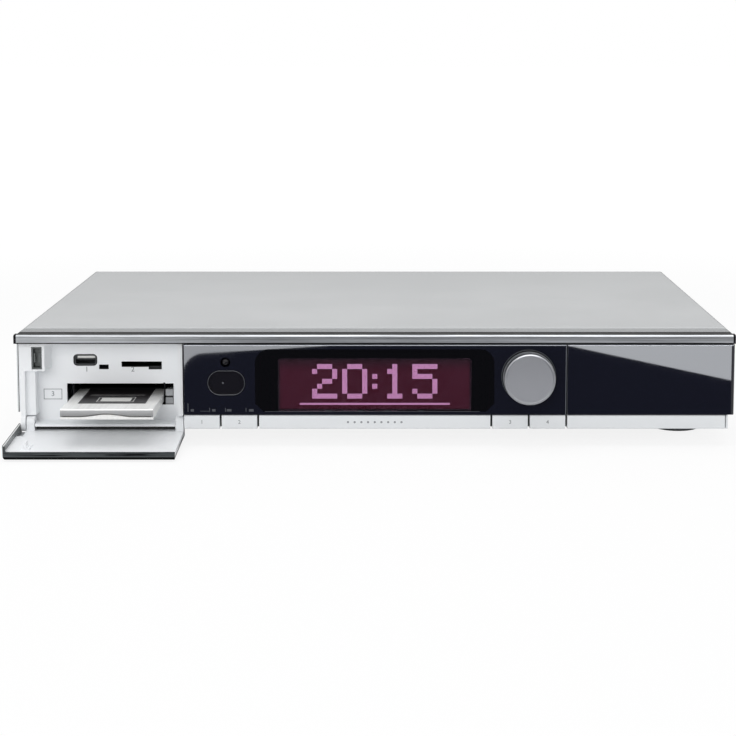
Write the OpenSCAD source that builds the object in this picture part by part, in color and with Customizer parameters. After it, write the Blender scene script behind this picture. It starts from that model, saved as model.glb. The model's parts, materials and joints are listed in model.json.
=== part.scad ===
// Satellite television receiver: a low wide housing with a drop-down flap on the left, a display and
// a push dial in the middle, four keys below them and the card slots behind the flap.
// X runs to the right, Y runs to the back and Z runs up. While a shape is drawn, y = 0 is the front
// face of the panels and z = 0 is the surface that the receiver stands on.

/* [Housing] */
// Width over the cover and the trim bar
body_w = 430; // [420:1:450]
// Depth from the front panels to the back edge of the cover
body_d = 290; // [284:1:330]
// Height of the trim bar's top edge
body_h = 67.6; // [66.8:0.2:76]
// Height of the housing's underside
leg_h = 10.9; // [9:0.1:11.4]
// How far the lower body stands in from the cover on each side
lower_inset = 3.8; // [3.2:0.1:5]
// Thickness of the tub's and the rear panel's steel
sheet_t = 1.2; // [1:0.1:1.4]
// Thickness of the cover's steel
cover_t = 1; // [0.8:0.1:1.2]
// Distance from the panels back to the cover's front edge
cover_set_back = 8.5; // [8:0.1:10]
// Depth of the cover's sloping front band
band_d = 18.5; // [12:0.5:24]
// Fall of the front band towards the front
band_fall = 0.8; // [0.3:0.1:1]
// Radius of the cover's long top corners
cover_r = 2.5; // [1.5:0.1:4]
// Number of air slots in each side of the cover
side_vents = 14; // [6:1:18]
// Diameter of the feet
foot_dia = 33; // [28:0.5:38]
// Distance from the front panels back to the front feet's centres
foot_front = 57; // [50:1:70]

/* [Front] */
// Height of the trim bar
trim_h = 5.3; // [4.6:0.1:5.6]
// Depth of the trim bar
trim_d = 6.2; // [5.6:0.1:6.4]
// Height of the row of keys and strips
strip_h = 8.1; // [7.8:0.1:8.6]
// Width of the flap, and of the bay behind it
bay_w = 100; // [99:0.5:104]
// Width of the plain panel on the right
side_panel_w = 100; // [90:1:104]
// Thickness of the black panels
panel_t = 2.5; // [2:0.1:2.7]
// Depth of the black return at the right end
return_d = 7.5; // [6:0.1:7.8]
// Width of a key
key_w = 21.1; // [18:0.1:23]
// Seam beside a key
key_gap = 1.3; // [0.8:0.1:1.6]
// Travel of a key
key_travel = 0.7; // [0.4:0.05:0.75]
// Width of the lit display
display_w = 113.6; // [100:0.2:120]
// Bevel along the front edges of the black panels
panel_bevel = 0.3; // [0.1:0.05:0.5]
// Radius of the flap's free outer corner
flap_corner_r = 3; // [1.6:0.1:5]
// Radius where the black panels bend back around the ends of the housing
panel_end_r = 2.2; // [1:0.1:2.3]

/* [Dial] */
// Diameter of the dial
dial_dia = 30.4; // [26:0.1:31]
// How far the dial stands out from the panels
dial_out = 10.5; // [8:0.5:14]
// Travel of the dial when it is pushed
dial_travel = 0.6; // [0.3:0.05:0.65]
// Radius of the dial's shaft
shaft_r = 3; // [2.6:0.1:3.2]

/* [Flap and bay] */
// Angle of the flap, with 0 shut
flap_open = 93.5; // [0:0.5:93.5]
// Thickness of the flap's black face
face_t = 2; // [1.6:0.1:2.2]
// Thickness of the flap's liner
liner_t = 2.3; // [2:0.1:2.5]
// Width of a hinge arm
arm_w = 4.7; // [4:0.1:5]
// Radius of the hinge pins
pin_r = 1.5; // [1.2:0.1:1.7]
// Depth of the bay's back wall behind the panels
bay_d = 18; // [17.4:0.1:19.6]
// Length of the access module
module_l = 100; // [96:1:102]
// Width of the access module
module_w = 54; // [52:0.5:54.4]

/* [Hidden] */
$fn = 48;
seam = 0.4;
fit = 0.3;
run_fit = 0.05;
half_w = body_w / 2;
lower_x = half_w - lower_inset;
tub_top = leg_h + sheet_t;
skirt_z = leg_h + strip_h + seam;
trim_z = body_h - trim_h;
panel_top = trim_z - 0.6;
beam_z = trim_z - fit;
cover_top = body_h + 0.3;
hem_z = cover_top - 2 * cover_t;
beam_top = hem_z - fit;
rear_y = body_d - 2 * cover_t;
rear_out = rear_y + cover_t;

flap_x1 = -half_w + bay_w;
panel_h = panel_top - skirt_z;
mid_x0 = flap_x1 + 1.1;
mid_x1 = half_w - side_panel_w - 0.7;
right_x0 = half_w - side_panel_w;
right_x1 = half_w - 0.2;

hinge_y = 8.9;
hinge_z = leg_h + 2.25;
flap_back = face_t + liner_t;
flap_rim = return_d;
flap_max = 93.5;
wall_t = 2.6;
bay_x0 = -half_w + wall_t;
wall_x = bay_x0 + wall_t;
bay_x1 = flap_x1 - 0.2;
tray_y0 = flap_back + 1;
tray_floor = 1.5;
tray_z0 = leg_h + 0.2;
tray_z = tray_z0 + tray_floor;
arm_r = 3.6;
arm_left = wall_x + seam;
arm_right = flap_x1 - 0.1 - arm_w;
notch_top = hinge_z + arm_r + 0.65;
lug_r = 5.4;
lug_right_r = 2.9;

knob_x = mid_x1 - 22.4;
knob_z = skirt_z + 0.546 * panel_h;
eye_x = mid_x0 + 24.9;
eye_z = panel_top - 0.248 * panel_h;
oval_x = mid_x0 + 25.3;
oval_z = skirt_z + 0.456 * panel_h;
oval_w = 23;
oval_h = 15.6;
eye_r = 2.8;

frame_x0 = mid_x0 + 1.9;
frame_x1 = lower_x - 1.8;
frame_y1 = panel_t + 2.4;
wall_y = 6;
pcb_y = 13.6;
pcb_t = 1.6;
board_z = 22;
board_top = board_z + pcb_t;
display_h = 0.712 * panel_h;
display_z = skirt_z + 0.066 * panel_h;
key_back = wall_y - key_travel - 0.2;
key_x = [mid_x0, mid_x0 + key_w + key_gap, mid_x1 - 0.4 - 2 * key_w - key_gap, mid_x1 - 0.4 - key_w];
stem_z = leg_h + 5;
stem_w = 3;
stem_h = 2.4;
stem_end = pcb_y - 4.3;
switch_h = 3.5;
rotor_y0 = 9.2;
rotor_y1 = 11;
shaft_end = rotor_y1 + 0.8;
cavity_y0 = rotor_y0 - 0.4;
cavity_y1 = shaft_end + dial_travel + 0.4;
knob_end = dial_out - dial_travel - fit;

slot_x0 = -half_w + 28.1;
slot_x1 = flap_x1 - 7.2;
slot_z0 = leg_h + 11.1;
slot_z1 = slot_z0 + 13;
module_x0 = slot_x0 + 4.3;
module_x1 = module_x0 + module_w;
module_z0 = slot_z0 + 1.2;
module_z1 = module_z0 + 5;
module_y0 = bay_d - 3;
module_end = module_y0 + module_l;
module_travel = 44;
module_out = module_travel * flap_open / flap_max;
grip_l = 16.5;
cage_t = 0.8;
cage_y0 = bay_d + 2.3;
cage_x0 = module_x0 - fit - cage_t;
cage_x1 = module_x1 + fit + cage_t;
cage_z0 = slot_z0 - 0.5;
cage_z1 = slot_z1 + 1;
shelf_z = module_z1 + seam;
rail_y = cage_y0 + grip_l - 2.8;
eject_x0 = cage_x1 + fit;
eject_x1 = slot_x1 - seam;
eject_z = [slot_z0 + 0.2, slot_z0 + 5.2];
eject_h = 3.9;
eject_travel = 4;
button_y1 = bay_d + 6;
guide_y = [button_y1 + eject_travel + 8.3, module_end - 26.7];
guide_t = 1.2;
rod_w = 2;
rod_end = guide_y[1] + guide_t + eject_travel;
eject_mid = (eject_x0 + eject_x1) / 2;

port_z = cage_z1 + 3.4;
port_top = port_z + pcb_t;
usb_x = -half_w + 39.5;
usb_z = leg_h + 38.5;
service_x = -half_w + 50.7;
service_z = leg_h + 34.25;
sd_x = -half_w + 73.6;
sd_z = leg_h + 35.9;
sd_w = 24.4;

latch_x = -half_w + 12.55;
latch_z = panel_top - 8.95;
latch_w = 6.1;
latch_h = 13.5;
latch_y0 = tray_y0 + 0.6;
latch_travel = 3;
latch_inner = bay_d - 0.1;
slider_y1 = latch_inner - latch_travel - 0.5;

foot_x = half_w - 26.2;
foot_back = body_d - 48;

// The disk stands at the left, and the rear sockets share the width that is left beside it.
disk_w = 101.6;
disk_l = 147;
disk_h = 22;
disk_x0 = sheet_t - lower_x + 6;
disk_x1 = disk_x0 + disk_w;
disk_y0 = module_end + 12;
disk_z0 = board_z + 6;
function rear_x(share) = disk_x1 + share * (lower_x - disk_x1);

jack_x = [rear_x(0.043), rear_x(0.107)];
jack_z = [board_top + 8.4, board_top + 24.4];
jack_r = 4.7;
jack_l = 10;
cinch_x = [rear_x(0.174), rear_x(0.218)];
cinch_z = [board_top + 7.4, board_top + 20.4];
optical_x = rear_x(0.265);
scart_x = rear_x(0.381);
hdmi_x = rear_x(0.504);
lan_x = rear_x(0.566);
usb_back_x = rear_x(0.625);
// The neck of each socket that passes through the rear panel: width, height and height of its middle.
optical_neck = [9, 9, board_top + 5.6];
scart_neck = [48.4, 14.4, board_top + 9];
hdmi_neck = [15, 6.2, board_top + 4.1];
lan_neck = [16, 13, board_top + 7.3];
usb_back_neck = [13.4, 6.8, board_top + 4.2];
scart_z = scart_neck[2];
inlet_x = rear_x(0.907);
power_z = board_top + 12.4;
switch_x = rear_x(0.792);

// The part's origin is the middle of its footprint, with the flap and the module as drawn.
flap_reach = hinge_y + (flap_rim - hinge_y) * cos(flap_open) - (panel_top - hinge_z) * sin(flap_open);
front_reach = min(flap_reach, -dial_out);
back_reach = rear_out + jack_l;
origin_y = (front_reach + back_reach) / 2;

// ---------------------------------------------------------------- helpers

// A piece in its place: the front plane's coordinates, moved to the part's origin.
module placed() translate([0, -origin_y, 0]) children();

// A box between two opposite corners.
module span(low, high) translate(low) cube(high - low);

// A round bar along Y.
module rod_y(r, y0, y1, x, z) translate([x, y0, z]) rotate([-90, 0, 0]) cylinder(r = r, h = y1 - y0);

// A round bar along X.
module rod_x(r, x0, x1, y, z) translate([x0, y, z]) rotate([0, 90, 0]) cylinder(r = r, h = x1 - x0);

// A round post along Z.
module post(r, z0, z1, x, y) translate([x, y, z0]) cylinder(r = r, h = z1 - z0);

// An outline in X and Z, drawn out along Y.
module along_y(y0, y1) translate([0, y1, 0]) rotate([90, 0, 0]) linear_extrude(y1 - y0) children();

// An outline in Y and Z, drawn out along X.
module along_x(x0, x1) translate([x0, 0, 0]) rotate([90, 0, 90]) linear_extrude(x1 - x0) children();

// A rectangle with round corners, made of true arcs.
module rounded(x0, z0, x1, z1, r) {
    translate([x0 + r, z0]) square([x1 - x0 - 2 * r, z1 - z0]);
    translate([x0, z0 + r]) square([x1 - x0, z1 - z0 - 2 * r]);
    for (x = [x0 + r, x1 - r], z = [z0 + r, z1 - r]) translate([x, z]) circle(r);
}

// A rectangle with two round upper corners.
module rounded_top(x0, z0, x1, z1, r) {
    translate([x0 + r, z0]) square([x1 - x0 - 2 * r, z1 - z0]);
    translate([x0, z0]) square([x1 - x0, z1 - z0 - r]);
    for (x = [x0 + r, x1 - r]) translate([x, z1 - r]) circle(r);
}

// A rectangle with its corners cut off.
module chamfered(x0, z0, x1, z1, c) polygon([[x0 + c, z0], [x1 - c, z0], [x1, z0 + c], [x1, z1 - c],
    [x1 - c, z1], [x0 + c, z1], [x0, z1 - c], [x0, z0 + c]]);

// A box centred in X and Z around a socket's mouth.
module mouth(x, z, w, h, y0, y1) span([x - w / 2, y0, z - h / 2], [x + w / 2, y1, z + h / 2]);

// ---------------------------------------------------------------- housing

tub_floor_y = bay_d + 2;
main_x0 = disk_x1 + 2.4;
main_x1 = rear_x(0.665);
main_y0 = disk_y0 - 31;
power_x0 = rear_x(0.684);
power_x1 = lower_x - 5.2;
power_y0 = disk_y0 - 19;
power_y1 = rear_y - 20;
board_posts = [for (x = [main_x0 + 8, main_x1 - 10], y = [main_y0 + 8, rear_y - 62]) [x, y]];
power_posts = [for (x = [power_x0 + 6, power_x1 - 6], y = [power_y0 + 8, power_y1 - 6]) [x, y]];
dimple_y = [40, body_d / 2 + 5, rear_y - 18];
floor_slot_w = 3;
floor_slot_pitch = 12;
dimple_z = leg_h + 17;
tub_wall_h = 24;

// The steel tray that everything stands in, open at the front behind the panels.
module base_tub() color("silver") placed() difference() {
    union() {
        span([frame_x0, wall_y + 2, leg_h], [lower_x, rear_y, tub_top]);
        span([-lower_x, tub_floor_y, leg_h], [frame_x0, rear_y, tub_top]);
        span([lower_x - sheet_t, seam, leg_h], [lower_x, cover_set_back, skirt_z - seam]);
        span([lower_x - sheet_t, cover_set_back, leg_h], [lower_x, rear_y, leg_h + tub_wall_h]);
        span([-lower_x, tub_floor_y, leg_h], [sheet_t - lower_x, rear_y, leg_h + tub_wall_h]);
        for (y = dimple_y) {
            rod_x(4, lower_x - sheet_t, half_w - cover_t, y, dimple_z);
            rod_x(4, cover_t - half_w, sheet_t - lower_x, y, dimple_z);
        }
        for (p = concat(board_posts, power_posts)) post(4, leg_h + 0.1, board_z, p[0], p[1]);
    }
    for (p = concat(board_posts, power_posts)) post(1.5, tub_top, board_z + 1, p[0], p[1]);
    for (x = [-foot_x, foot_x], y = [foot_front, foot_back]) post(2.2, leg_h - 1, tub_top + 1, x, y);
    for (i = [0:9]) translate([main_x0 + 40 + i * floor_slot_pitch, main_y0 + 34, leg_h - 1])
        cube([floor_slot_w, 50, sheet_t + 2]);
}

// The folded cover: a top with a sloping, hemmed front band, two sides and a lip at the back.
module top_cover() color("gainsboro") placed() difference() {
    union() {
        difference() {
            along_y(cover_set_back, body_d) rounded_top(-half_w, skirt_z, half_w, cover_top, cover_r);
            along_y(cover_set_back - 1, body_d + 1)
                rounded_top(cover_t - half_w, skirt_z - 1, half_w - cover_t, hem_z, cover_r - cover_t);
            along_y(cover_set_back + band_d, body_d + 1)
                rounded_top(cover_t - half_w, skirt_z - 1, half_w - cover_t, cover_top - cover_t, cover_r - cover_t);
        }
        span([cover_r - half_w, rear_out, cover_top - 9], [half_w - cover_r, body_d, cover_top - cover_t / 2]);
    }
    along_x(-half_w - 1, half_w + 1) polygon([[cover_set_back - 1, cover_top + 1],
        [cover_set_back - 1, cover_top - band_fall * (band_d + 1) / band_d],
        [cover_set_back + band_d, cover_top], [cover_set_back + band_d, cover_top + 1]]);
    for (i = [0:side_vents - 1]) translate([0, body_d / 2 + 5 + i * vent_pitch, 0])
        span([-half_w - 1, 0, skirt_z + 14], [half_w + 1, vent_w, cover_top - 12.5]);
    for (x = lip_screw_x) rod_y(1.7, rear_y, body_d + 1, x, lip_screw_z);
}

vent_pitch = 6.4;
vent_w = 2.4;
lip_screw_x = [for (i = [-3, -1, 1, 3]) i * half_w * 0.28];
lip_screw_z = cover_top - 5.4;

// The panel's hole around a socket's neck.
module neck_hole(x, neck) mouth(x, neck[2], neck[0] + 0.4, neck[1] + 0.4, rear_y - 1, rear_out + 1);

// The rear panel with a hole for each socket.
module rear_panel() color("dimgray") placed() difference() {
    union() {
        along_y(rear_y, rear_out) rounded_top(fit + cover_t - half_w, skirt_z + seam, half_w - cover_t - fit,
            cover_top - cover_t - fit, cover_r);
        span([-lower_x, rear_y, leg_h], [lower_x, rear_out, skirt_z + seam]);
    }
    for (x = jack_x, z = jack_z) rod_y(jack_r + 0.2, rear_y - 1, rear_out + 1, x, z);
    for (x = cinch_x, z = cinch_z) rod_y(4.4, rear_y - 1, rear_out + 1, x, z);
    neck_hole(optical_x, optical_neck);
    neck_hole(scart_x, scart_neck);
    neck_hole(hdmi_x, hdmi_neck);
    neck_hole(lan_x, lan_neck);
    neck_hole(usb_back_x, usb_back_neck);
    mouth(inlet_x, power_z, 27.4, 20, rear_y - 1, rear_out + 1);
    mouth(switch_x, power_z, 13.2, 19.4, rear_y - 1, rear_out + 1);
    for (x = lip_screw_x) rod_y(1.7, rear_y - 1, rear_out + 1, x, lip_screw_z);
    for (i = [0:11])
        mouth(8 - half_w + (i + 1.5) * 7, (skirt_z + cover_top) / 2 - 1.6, 3, 22, rear_y - 1, rear_out + 1);
}

// Turned feet, each with a recess for its screw.
module feet() color("gray") placed() for (x = [-foot_x, foot_x], y = [foot_front, foot_back])
    translate([x, y, 0]) difference() {
        rotate_extrude() polygon([[0, 0], [foot_dia / 2 - 2.5, 0], [foot_dia / 2 - 1.5, 1],
            [foot_dia / 2 - 1.5, 2.4], [foot_dia / 2, 3], [foot_dia / 2, leg_h - 1.2],
            [foot_dia / 2 - 0.6, leg_h], [0, leg_h]]);
        translate([0, 0, -1]) cylinder(r = 4.5, h = 5);
        cylinder(r = 2.2, h = leg_h + 1);
    }

// One pan-head screw along +Z, with its seat at the origin.
module screw(r, length, head_r, head_h) {
    translate([0, 0, -length]) cylinder(r = r, h = length);
    cylinder(r = head_r, h = head_h);
}

// The screws of the boards, the feet and the cover's lip.
module screws() color("lightgray") placed() {
    for (p = concat(board_posts, power_posts)) translate([p[0], p[1], board_top]) screw(1.4, 8, 2.8, 1.6);
    for (x = [-foot_x, foot_x], y = [foot_front, foot_back])
        translate([x, y, 4]) rotate([180, 0, 0]) screw(2, leg_h - 4 + sheet_t + 1.5, 3.8, 2.2);
    for (x = lip_screw_x) translate([x, body_d, lip_screw_z]) rotate([-90, 0, 0]) screw(1.5, 5, 3, 1.5);
}

// ---------------------------------------------------------------- front

// The brushed bar along the top, with a chamfered front edge.
module trim_bar() color("darkgray") placed() along_x(-half_w, half_w)
    polygon([[0, trim_z + 0.3], [0.3, trim_z], [trim_d, trim_z], [trim_d, body_h - 0.3], [trim_d - 0.3, body_h],
        [0.8, body_h], [0, body_h - 0.8]]);

boss_x = [frame_x0 + 8, display_w / 2 + 9.5, frame_x1 - 9];
boss_z = [skirt_z + 6, panel_top - 6.2];

// The black moulding behind the panels: back plate, ledge, key wall, top beam and board bosses.
module front_frame() color("black") placed() difference() {
    union() {
        span([frame_x0, panel_t, skirt_z], [frame_x1, frame_y1, beam_z]);
        span([frame_x0, panel_t, skirt_z], [frame_x1, wall_y + 2, skirt_z + 1.6]);
        span([frame_x0, wall_y, tray_z0], [frame_x1, wall_y + 2, skirt_z + 1]);
        span([frame_x0, wall_y + 1, tub_top], [frame_x1, wall_y + 18, tub_top + 1.5]);
        span([frame_x0, panel_t, beam_z - 1.8], [frame_x1, trim_d + 7.8, beam_z]);
        span([-lower_x, trim_d, beam_z], [lower_x, trim_d + 7.8, beam_top]);
        for (x = [frame_x0, frame_x1 - 2]) {
            span([x, wall_y + 1, tub_top], [x + 2, 20, beam_z]);
            span([x, frame_y1 - 1, skirt_z + 1], [x + 2, 20, beam_z]);
        }
        for (x = boss_x, z = boss_z) rod_y(3.5, frame_y1 - 1, pcb_y, x, z);
    }
    along_y(panel_t - 1, frame_y1 + 1)
        rounded(-display_w / 2 - 1, display_z - 1, display_w / 2 + 1, display_z + display_h + 1, 2);
    rod_y(shaft_r + 1.3, panel_t - 1, frame_y1 + 1, knob_x, knob_z);
    rod_y(eye_r + 0.15, panel_t - 1, frame_y1 + 1, eye_x, eye_z);
    for (x = key_x) span([x + key_w / 2 - stem_w / 2 - fit, wall_y - 1, stem_z - fit],
        [x + key_w / 2 + stem_w / 2 + fit, wall_y + 3, stem_z + stem_h + fit]);
}

// A black panel between two ends, with a fine bevel along its upper, lower and end edges.
module bevelled_panel(x0, x1, t, z0) intersection() {
    along_x(x0, x1) polygon([[panel_bevel, z0], [t, z0], [t, panel_top], [panel_bevel, panel_top],
        [0, panel_top - panel_bevel], [0, z0 + panel_bevel]]);
    translate([0, 0, z0 - 1]) linear_extrude(panel_top - z0 + 2)
        polygon([[x0, panel_bevel], [x0 + panel_bevel, 0], [x1 - panel_bevel, 0], [x1, panel_bevel],
            [x1, t + 1], [x0, t + 1]]);
}

// What lies outside the rounded upright corner at x of a panel that reaches from x to the given side.
module end_round(x, side) translate([0, 0, -1]) linear_extrude(panel_top + 3) difference() {
    translate([side > 0 ? x - 1 : x - panel_end_r, -1]) square(panel_end_r + 1);
    translate([x + side * panel_end_r, panel_end_r]) circle(panel_end_r);
}

// The middle panel, with the openings for the eye, the sensor and the dial.
module display_panel() color([0.08, 0.08, 0.13]) placed() difference() {
    bevelled_panel(mid_x0, mid_x1, panel_t, skirt_z);
    rod_y(eye_r + 0.15, -1, panel_t + 1, eye_x, eye_z);
    along_y(-1, panel_t + 1) rounded(oval_x - oval_w / 2, oval_z - oval_h / 2, oval_x + oval_w / 2,
        oval_z + oval_h / 2, oval_h / 2 - 0.01);
    rod_y(dial_dia / 2 + 1.3, -1, panel_t + 1, knob_x, knob_z);
}

// The plain panel at the right, bent back around the end of the housing.
module right_panel() color([0.08, 0.08, 0.13]) placed() difference() {
    union() {
        bevelled_panel(right_x0, right_x1, panel_t, skirt_z);
        span([right_x1 - 1.5, panel_t - 0.5, skirt_z], [right_x1, return_d, panel_top]);
    }
    end_round(right_x1, -1);
}

// A strip's or key's outline in Y and Z, with a soft upper and lower front edge.
module strip_outline(depth) polygon([[0.5, leg_h], [depth, leg_h], [depth, leg_h + strip_h],
    [0.4, leg_h + strip_h], [0, leg_h + strip_h - 0.4], [0, leg_h + 0.5]]);

module centre_strip() color("whitesmoke") placed()
    along_x(key_x[1] + key_w + key_gap, key_x[2] - key_gap) strip_outline(wall_y);

module right_strip() color("whitesmoke") placed() along_x(right_x0 + 0.2, frame_x1) strip_outline(wall_y);

// A key: its cap and the stem that reaches its switch.
module front_key(x) {
    along_x(x, x + key_w) strip_outline(key_back);
    span([x + key_w / 2 - stem_w / 2, key_back - 1, stem_z],
        [x + key_w / 2 + stem_w / 2, stem_end, stem_z + stem_h]);
}

module key_power() color("whitesmoke") placed() front_key(key_x[0]);
module key_mode() color("whitesmoke") placed() front_key(key_x[1]);
module key_media() color("whitesmoke") placed() front_key(key_x[2]);
module key_back_step() color("whitesmoke") placed() front_key(key_x[3]);

// The round lens of the remote receiver, domed in front.
module infrared_eye() color("black") placed() {
    rod_y(eye_r, eye_r + 0.2, pcb_y, eye_x, eye_z);
    translate([eye_x, eye_r + 0.2, eye_z]) sphere(eye_r);
}

// The oval dish in the middle panel, with a raised inner rim.
module sensor_bezel() color("black") placed() difference() {
    along_y(fit, panel_t) rounded(oval_x - oval_w / 2 + 0.2, oval_z - oval_h / 2 + 0.2,
        oval_x + oval_w / 2 - 0.2, oval_z + oval_h / 2 - 0.2, oval_h / 2 - 0.21);
    along_y(-1, panel_t - 0.6) rounded(oval_x - oval_w / 2 + 1.2, oval_z - oval_h / 2 + 1.2,
        oval_x + oval_w / 2 - 1.2, oval_z + oval_h / 2 - 1.2, oval_h / 2 - 1.21);
}

// The display's glass and body, on the front board.
module display_module() color([0.2, 0.05, 0.1]) placed() {
    span([-display_w / 2 - 0.6, frame_y1 + fit, display_z - 0.6],
        [display_w / 2 + 0.6, frame_y1 + 3, display_z + display_h + 1.5]);
    span([-display_w / 2 - 2, frame_y1 + 2.8, display_z - 0.7],
        [display_w / 2 + 2, pcb_y, display_z + display_h + 2.4]);
}

// The upright board behind the front.
module front_board() color("darkgreen") placed() difference() {
    span([frame_x0 + 2.6, pcb_y, tub_top + 2], [frame_x1 - 2.6, pcb_y + pcb_t, panel_top - 1.9]);
    for (x = boss_x, z = boss_z) rod_y(1.2, pcb_y - 1, pcb_y + pcb_t + 1, x, z);
}

// A small switch behind each key.
module key_switches() color("dimgray") placed() for (x = key_x)
    span([x + key_w / 2 - 3, pcb_y - switch_h, tub_top + 2.2], [x + key_w / 2 + 3, pcb_y, tub_top + 8.2]);

// ---------------------------------------------------------------- dial

// The dished ring in the panel around the dial.
module dial_ring() color("black") placed() difference() {
    rod_y(dial_dia / 2 + 1.1, 0.2, panel_t, knob_x, knob_z);
    rod_y(dial_dia / 2 + 0.5, -1, panel_t - 0.9, knob_x, knob_z);
    rod_y(shaft_r + 1.3, -1, panel_t + 1, knob_x, knob_z);
}

// The encoder on the front board: bushing, case and a cavity for the rotor.
module encoder_body() color("gray") placed() difference() {
    union() {
        span([knob_x - 6.5, 7.6, knob_z - 6.5], [knob_x + 6.5, pcb_y, knob_z + 6.5]);
        rod_y(shaft_r + 1, panel_t + 0.2, 8, knob_x, knob_z);
    }
    rod_y(shaft_r + run_fit, 0, 9, knob_x, knob_z);
    rod_y(5.4, cavity_y0, cavity_y1, knob_x, knob_z);
}

// The cut that turns a round shaft end or its hole into a D, in X and Z.
module d_outline(r) intersection() {
    circle(r);
    translate([-r, -r]) square([1.7 * r, 2 * r]);
}

// The wiper wheel that the shaft slides through.
module encoder_rotor() color("goldenrod") placed() translate([knob_x, 0, knob_z]) difference() {
    rod_y(5, rotor_y0, rotor_y1, 0, 0);
    along_y(rotor_y0 - 0.2, rotor_y1 + 0.2) d_outline(shaft_r + run_fit);
}

// The shaft: round in the bushing and the dial, D-shaped in the rotor.
module dial_shaft() color("silver") placed() translate([knob_x, 0, knob_z]) {
    rod_y(shaft_r, 2 - dial_out, 8, 0, 0);
    along_y(8, shaft_end) d_outline(shaft_r);
}

// The dial: a turned cap with a chamfered face, a groove and a skirt.
module dial_knob() color("darkgray") placed() translate([knob_x, -dial_out, knob_z]) rotate([-90, 0, 0])
    difference() {
        rotate_extrude() polygon([[0, 0.25], [dial_dia / 2 - 1.6, 0.25], [dial_dia / 2 - 1.1, 0],
            [dial_dia / 2 - 0.7, 0], [dial_dia / 2, 0.7], [dial_dia / 2, knob_end - 2],
            [dial_dia / 2 - 0.8, knob_end - 1.8], [dial_dia / 2 - 0.8, knob_end - 1.2],
            [dial_dia / 2 + 0.2, knob_end - 1.1], [dial_dia / 2 + 0.2, knob_end], [0, knob_end]]);
        translate([0, 0, 2]) cylinder(r = shaft_r + 0.02, h = dial_out + 4);
        translate([0, 0, knob_end - 3]) cylinder(r = dial_dia / 2 - 2.2, h = 6);
    }

// ---------------------------------------------------------------- flap

// Turns a piece drawn on the shut flap to the flap's angle.
module on_flap() translate([0, hinge_y, hinge_z]) rotate([flap_open, 0, 0]) translate([0, -hinge_y, -hinge_z])
    children();

notch_x = arm_left - 0.1;
face_rim_t = 1.5;

// The flap's outline as seen from the front, with its free outer corner round and any inset from its edges.
module flap_outline(inset) {
    r = flap_corner_r - inset;
    x0 = inset - half_w;
    z1 = panel_top - inset;
    translate([x0 + r, leg_h]) square([flap_x1 - x0 - r, z1 - leg_h]);
    translate([x0, leg_h]) square([r + 1, z1 - r - leg_h]);
    translate([x0 + r, z1 - r]) circle(r);
}

// The black face of the flap, with a return along its outer end and its free edge.
module flap_face() color([0.08, 0.08, 0.13]) placed() on_flap() difference() {
    intersection() {
        union() {
            bevelled_panel(-half_w, flap_x1, face_t, skirt_z);
            difference() {
                span([-half_w, panel_bevel, leg_h], [flap_x1, flap_rim, panel_top]);
                along_y(face_t, flap_rim + 1) flap_outline(face_rim_t);
                span([face_rim_t - half_w, 0, leg_h - 1], [flap_x1 + 1, face_t + 1, skirt_z]);
                span([bay_x0 - 0.5, flap_back, leg_h - 1], [flap_x1 + 1, flap_rim + 1, panel_top + 1]);
            }
        }
        along_y(-1, flap_rim + 1) flap_outline(0);
    }
    end_round(-half_w, 1);
}

// The bright strip along the flap's foot.
module flap_strip() color("whitesmoke") placed() on_flap()
    along_x(face_rim_t - half_w, flap_x1) strip_outline(face_t);

// A hinge arm: an eye on the hinge axis, joined to the liner.
module hinge_arm(x) difference() {
    union() {
        rod_x(arm_r, x, x + arm_w, hinge_y, hinge_z);
        span([x, flap_back - 0.5, hinge_z - arm_r], [x + arm_w, hinge_y, hinge_z + arm_r]);
    }
    rod_x(pin_r + run_fit, x - 1, x + arm_w + 1, hinge_y, hinge_z);
}

// The white inside of the flap, with its two hinge arms and the striker for the latch.
module flap_liner() color("white") placed() on_flap() difference() {
    union() {
        along_y(face_t, flap_back) flap_outline(face_rim_t);
        hinge_arm(arm_left);
        hinge_arm(arm_right);
        mouth(latch_x, latch_z, latch_w - 0.7, latch_h - 4.5, flap_back - 0.5, flap_back + 1.2);
        mouth(latch_x, latch_z, 1.4, latch_h - 8, flap_back + 1, flap_back + 4.2);
    }
    span([-half_w, face_t - 1, leg_h - 1], [notch_x, flap_back + 1, leg_h + 17]);
}

// The two steel pins that the flap turns on.
module hinge_pins() color("silver") placed() {
    rod_x(pin_r, bay_x0 + 0.2, arm_left + arm_w - 0.2, hinge_y, hinge_z);
    rod_x(pin_r, arm_right + 0.2, bay_x1 + 2.5, hinge_y, hinge_z);
}

// ---------------------------------------------------------------- bay

lug_x0 = flap_x1 + 0.2;
lug_x1 = frame_x0 - 0.3;
latch_block_x1 = latch_x + 4.65;

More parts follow.
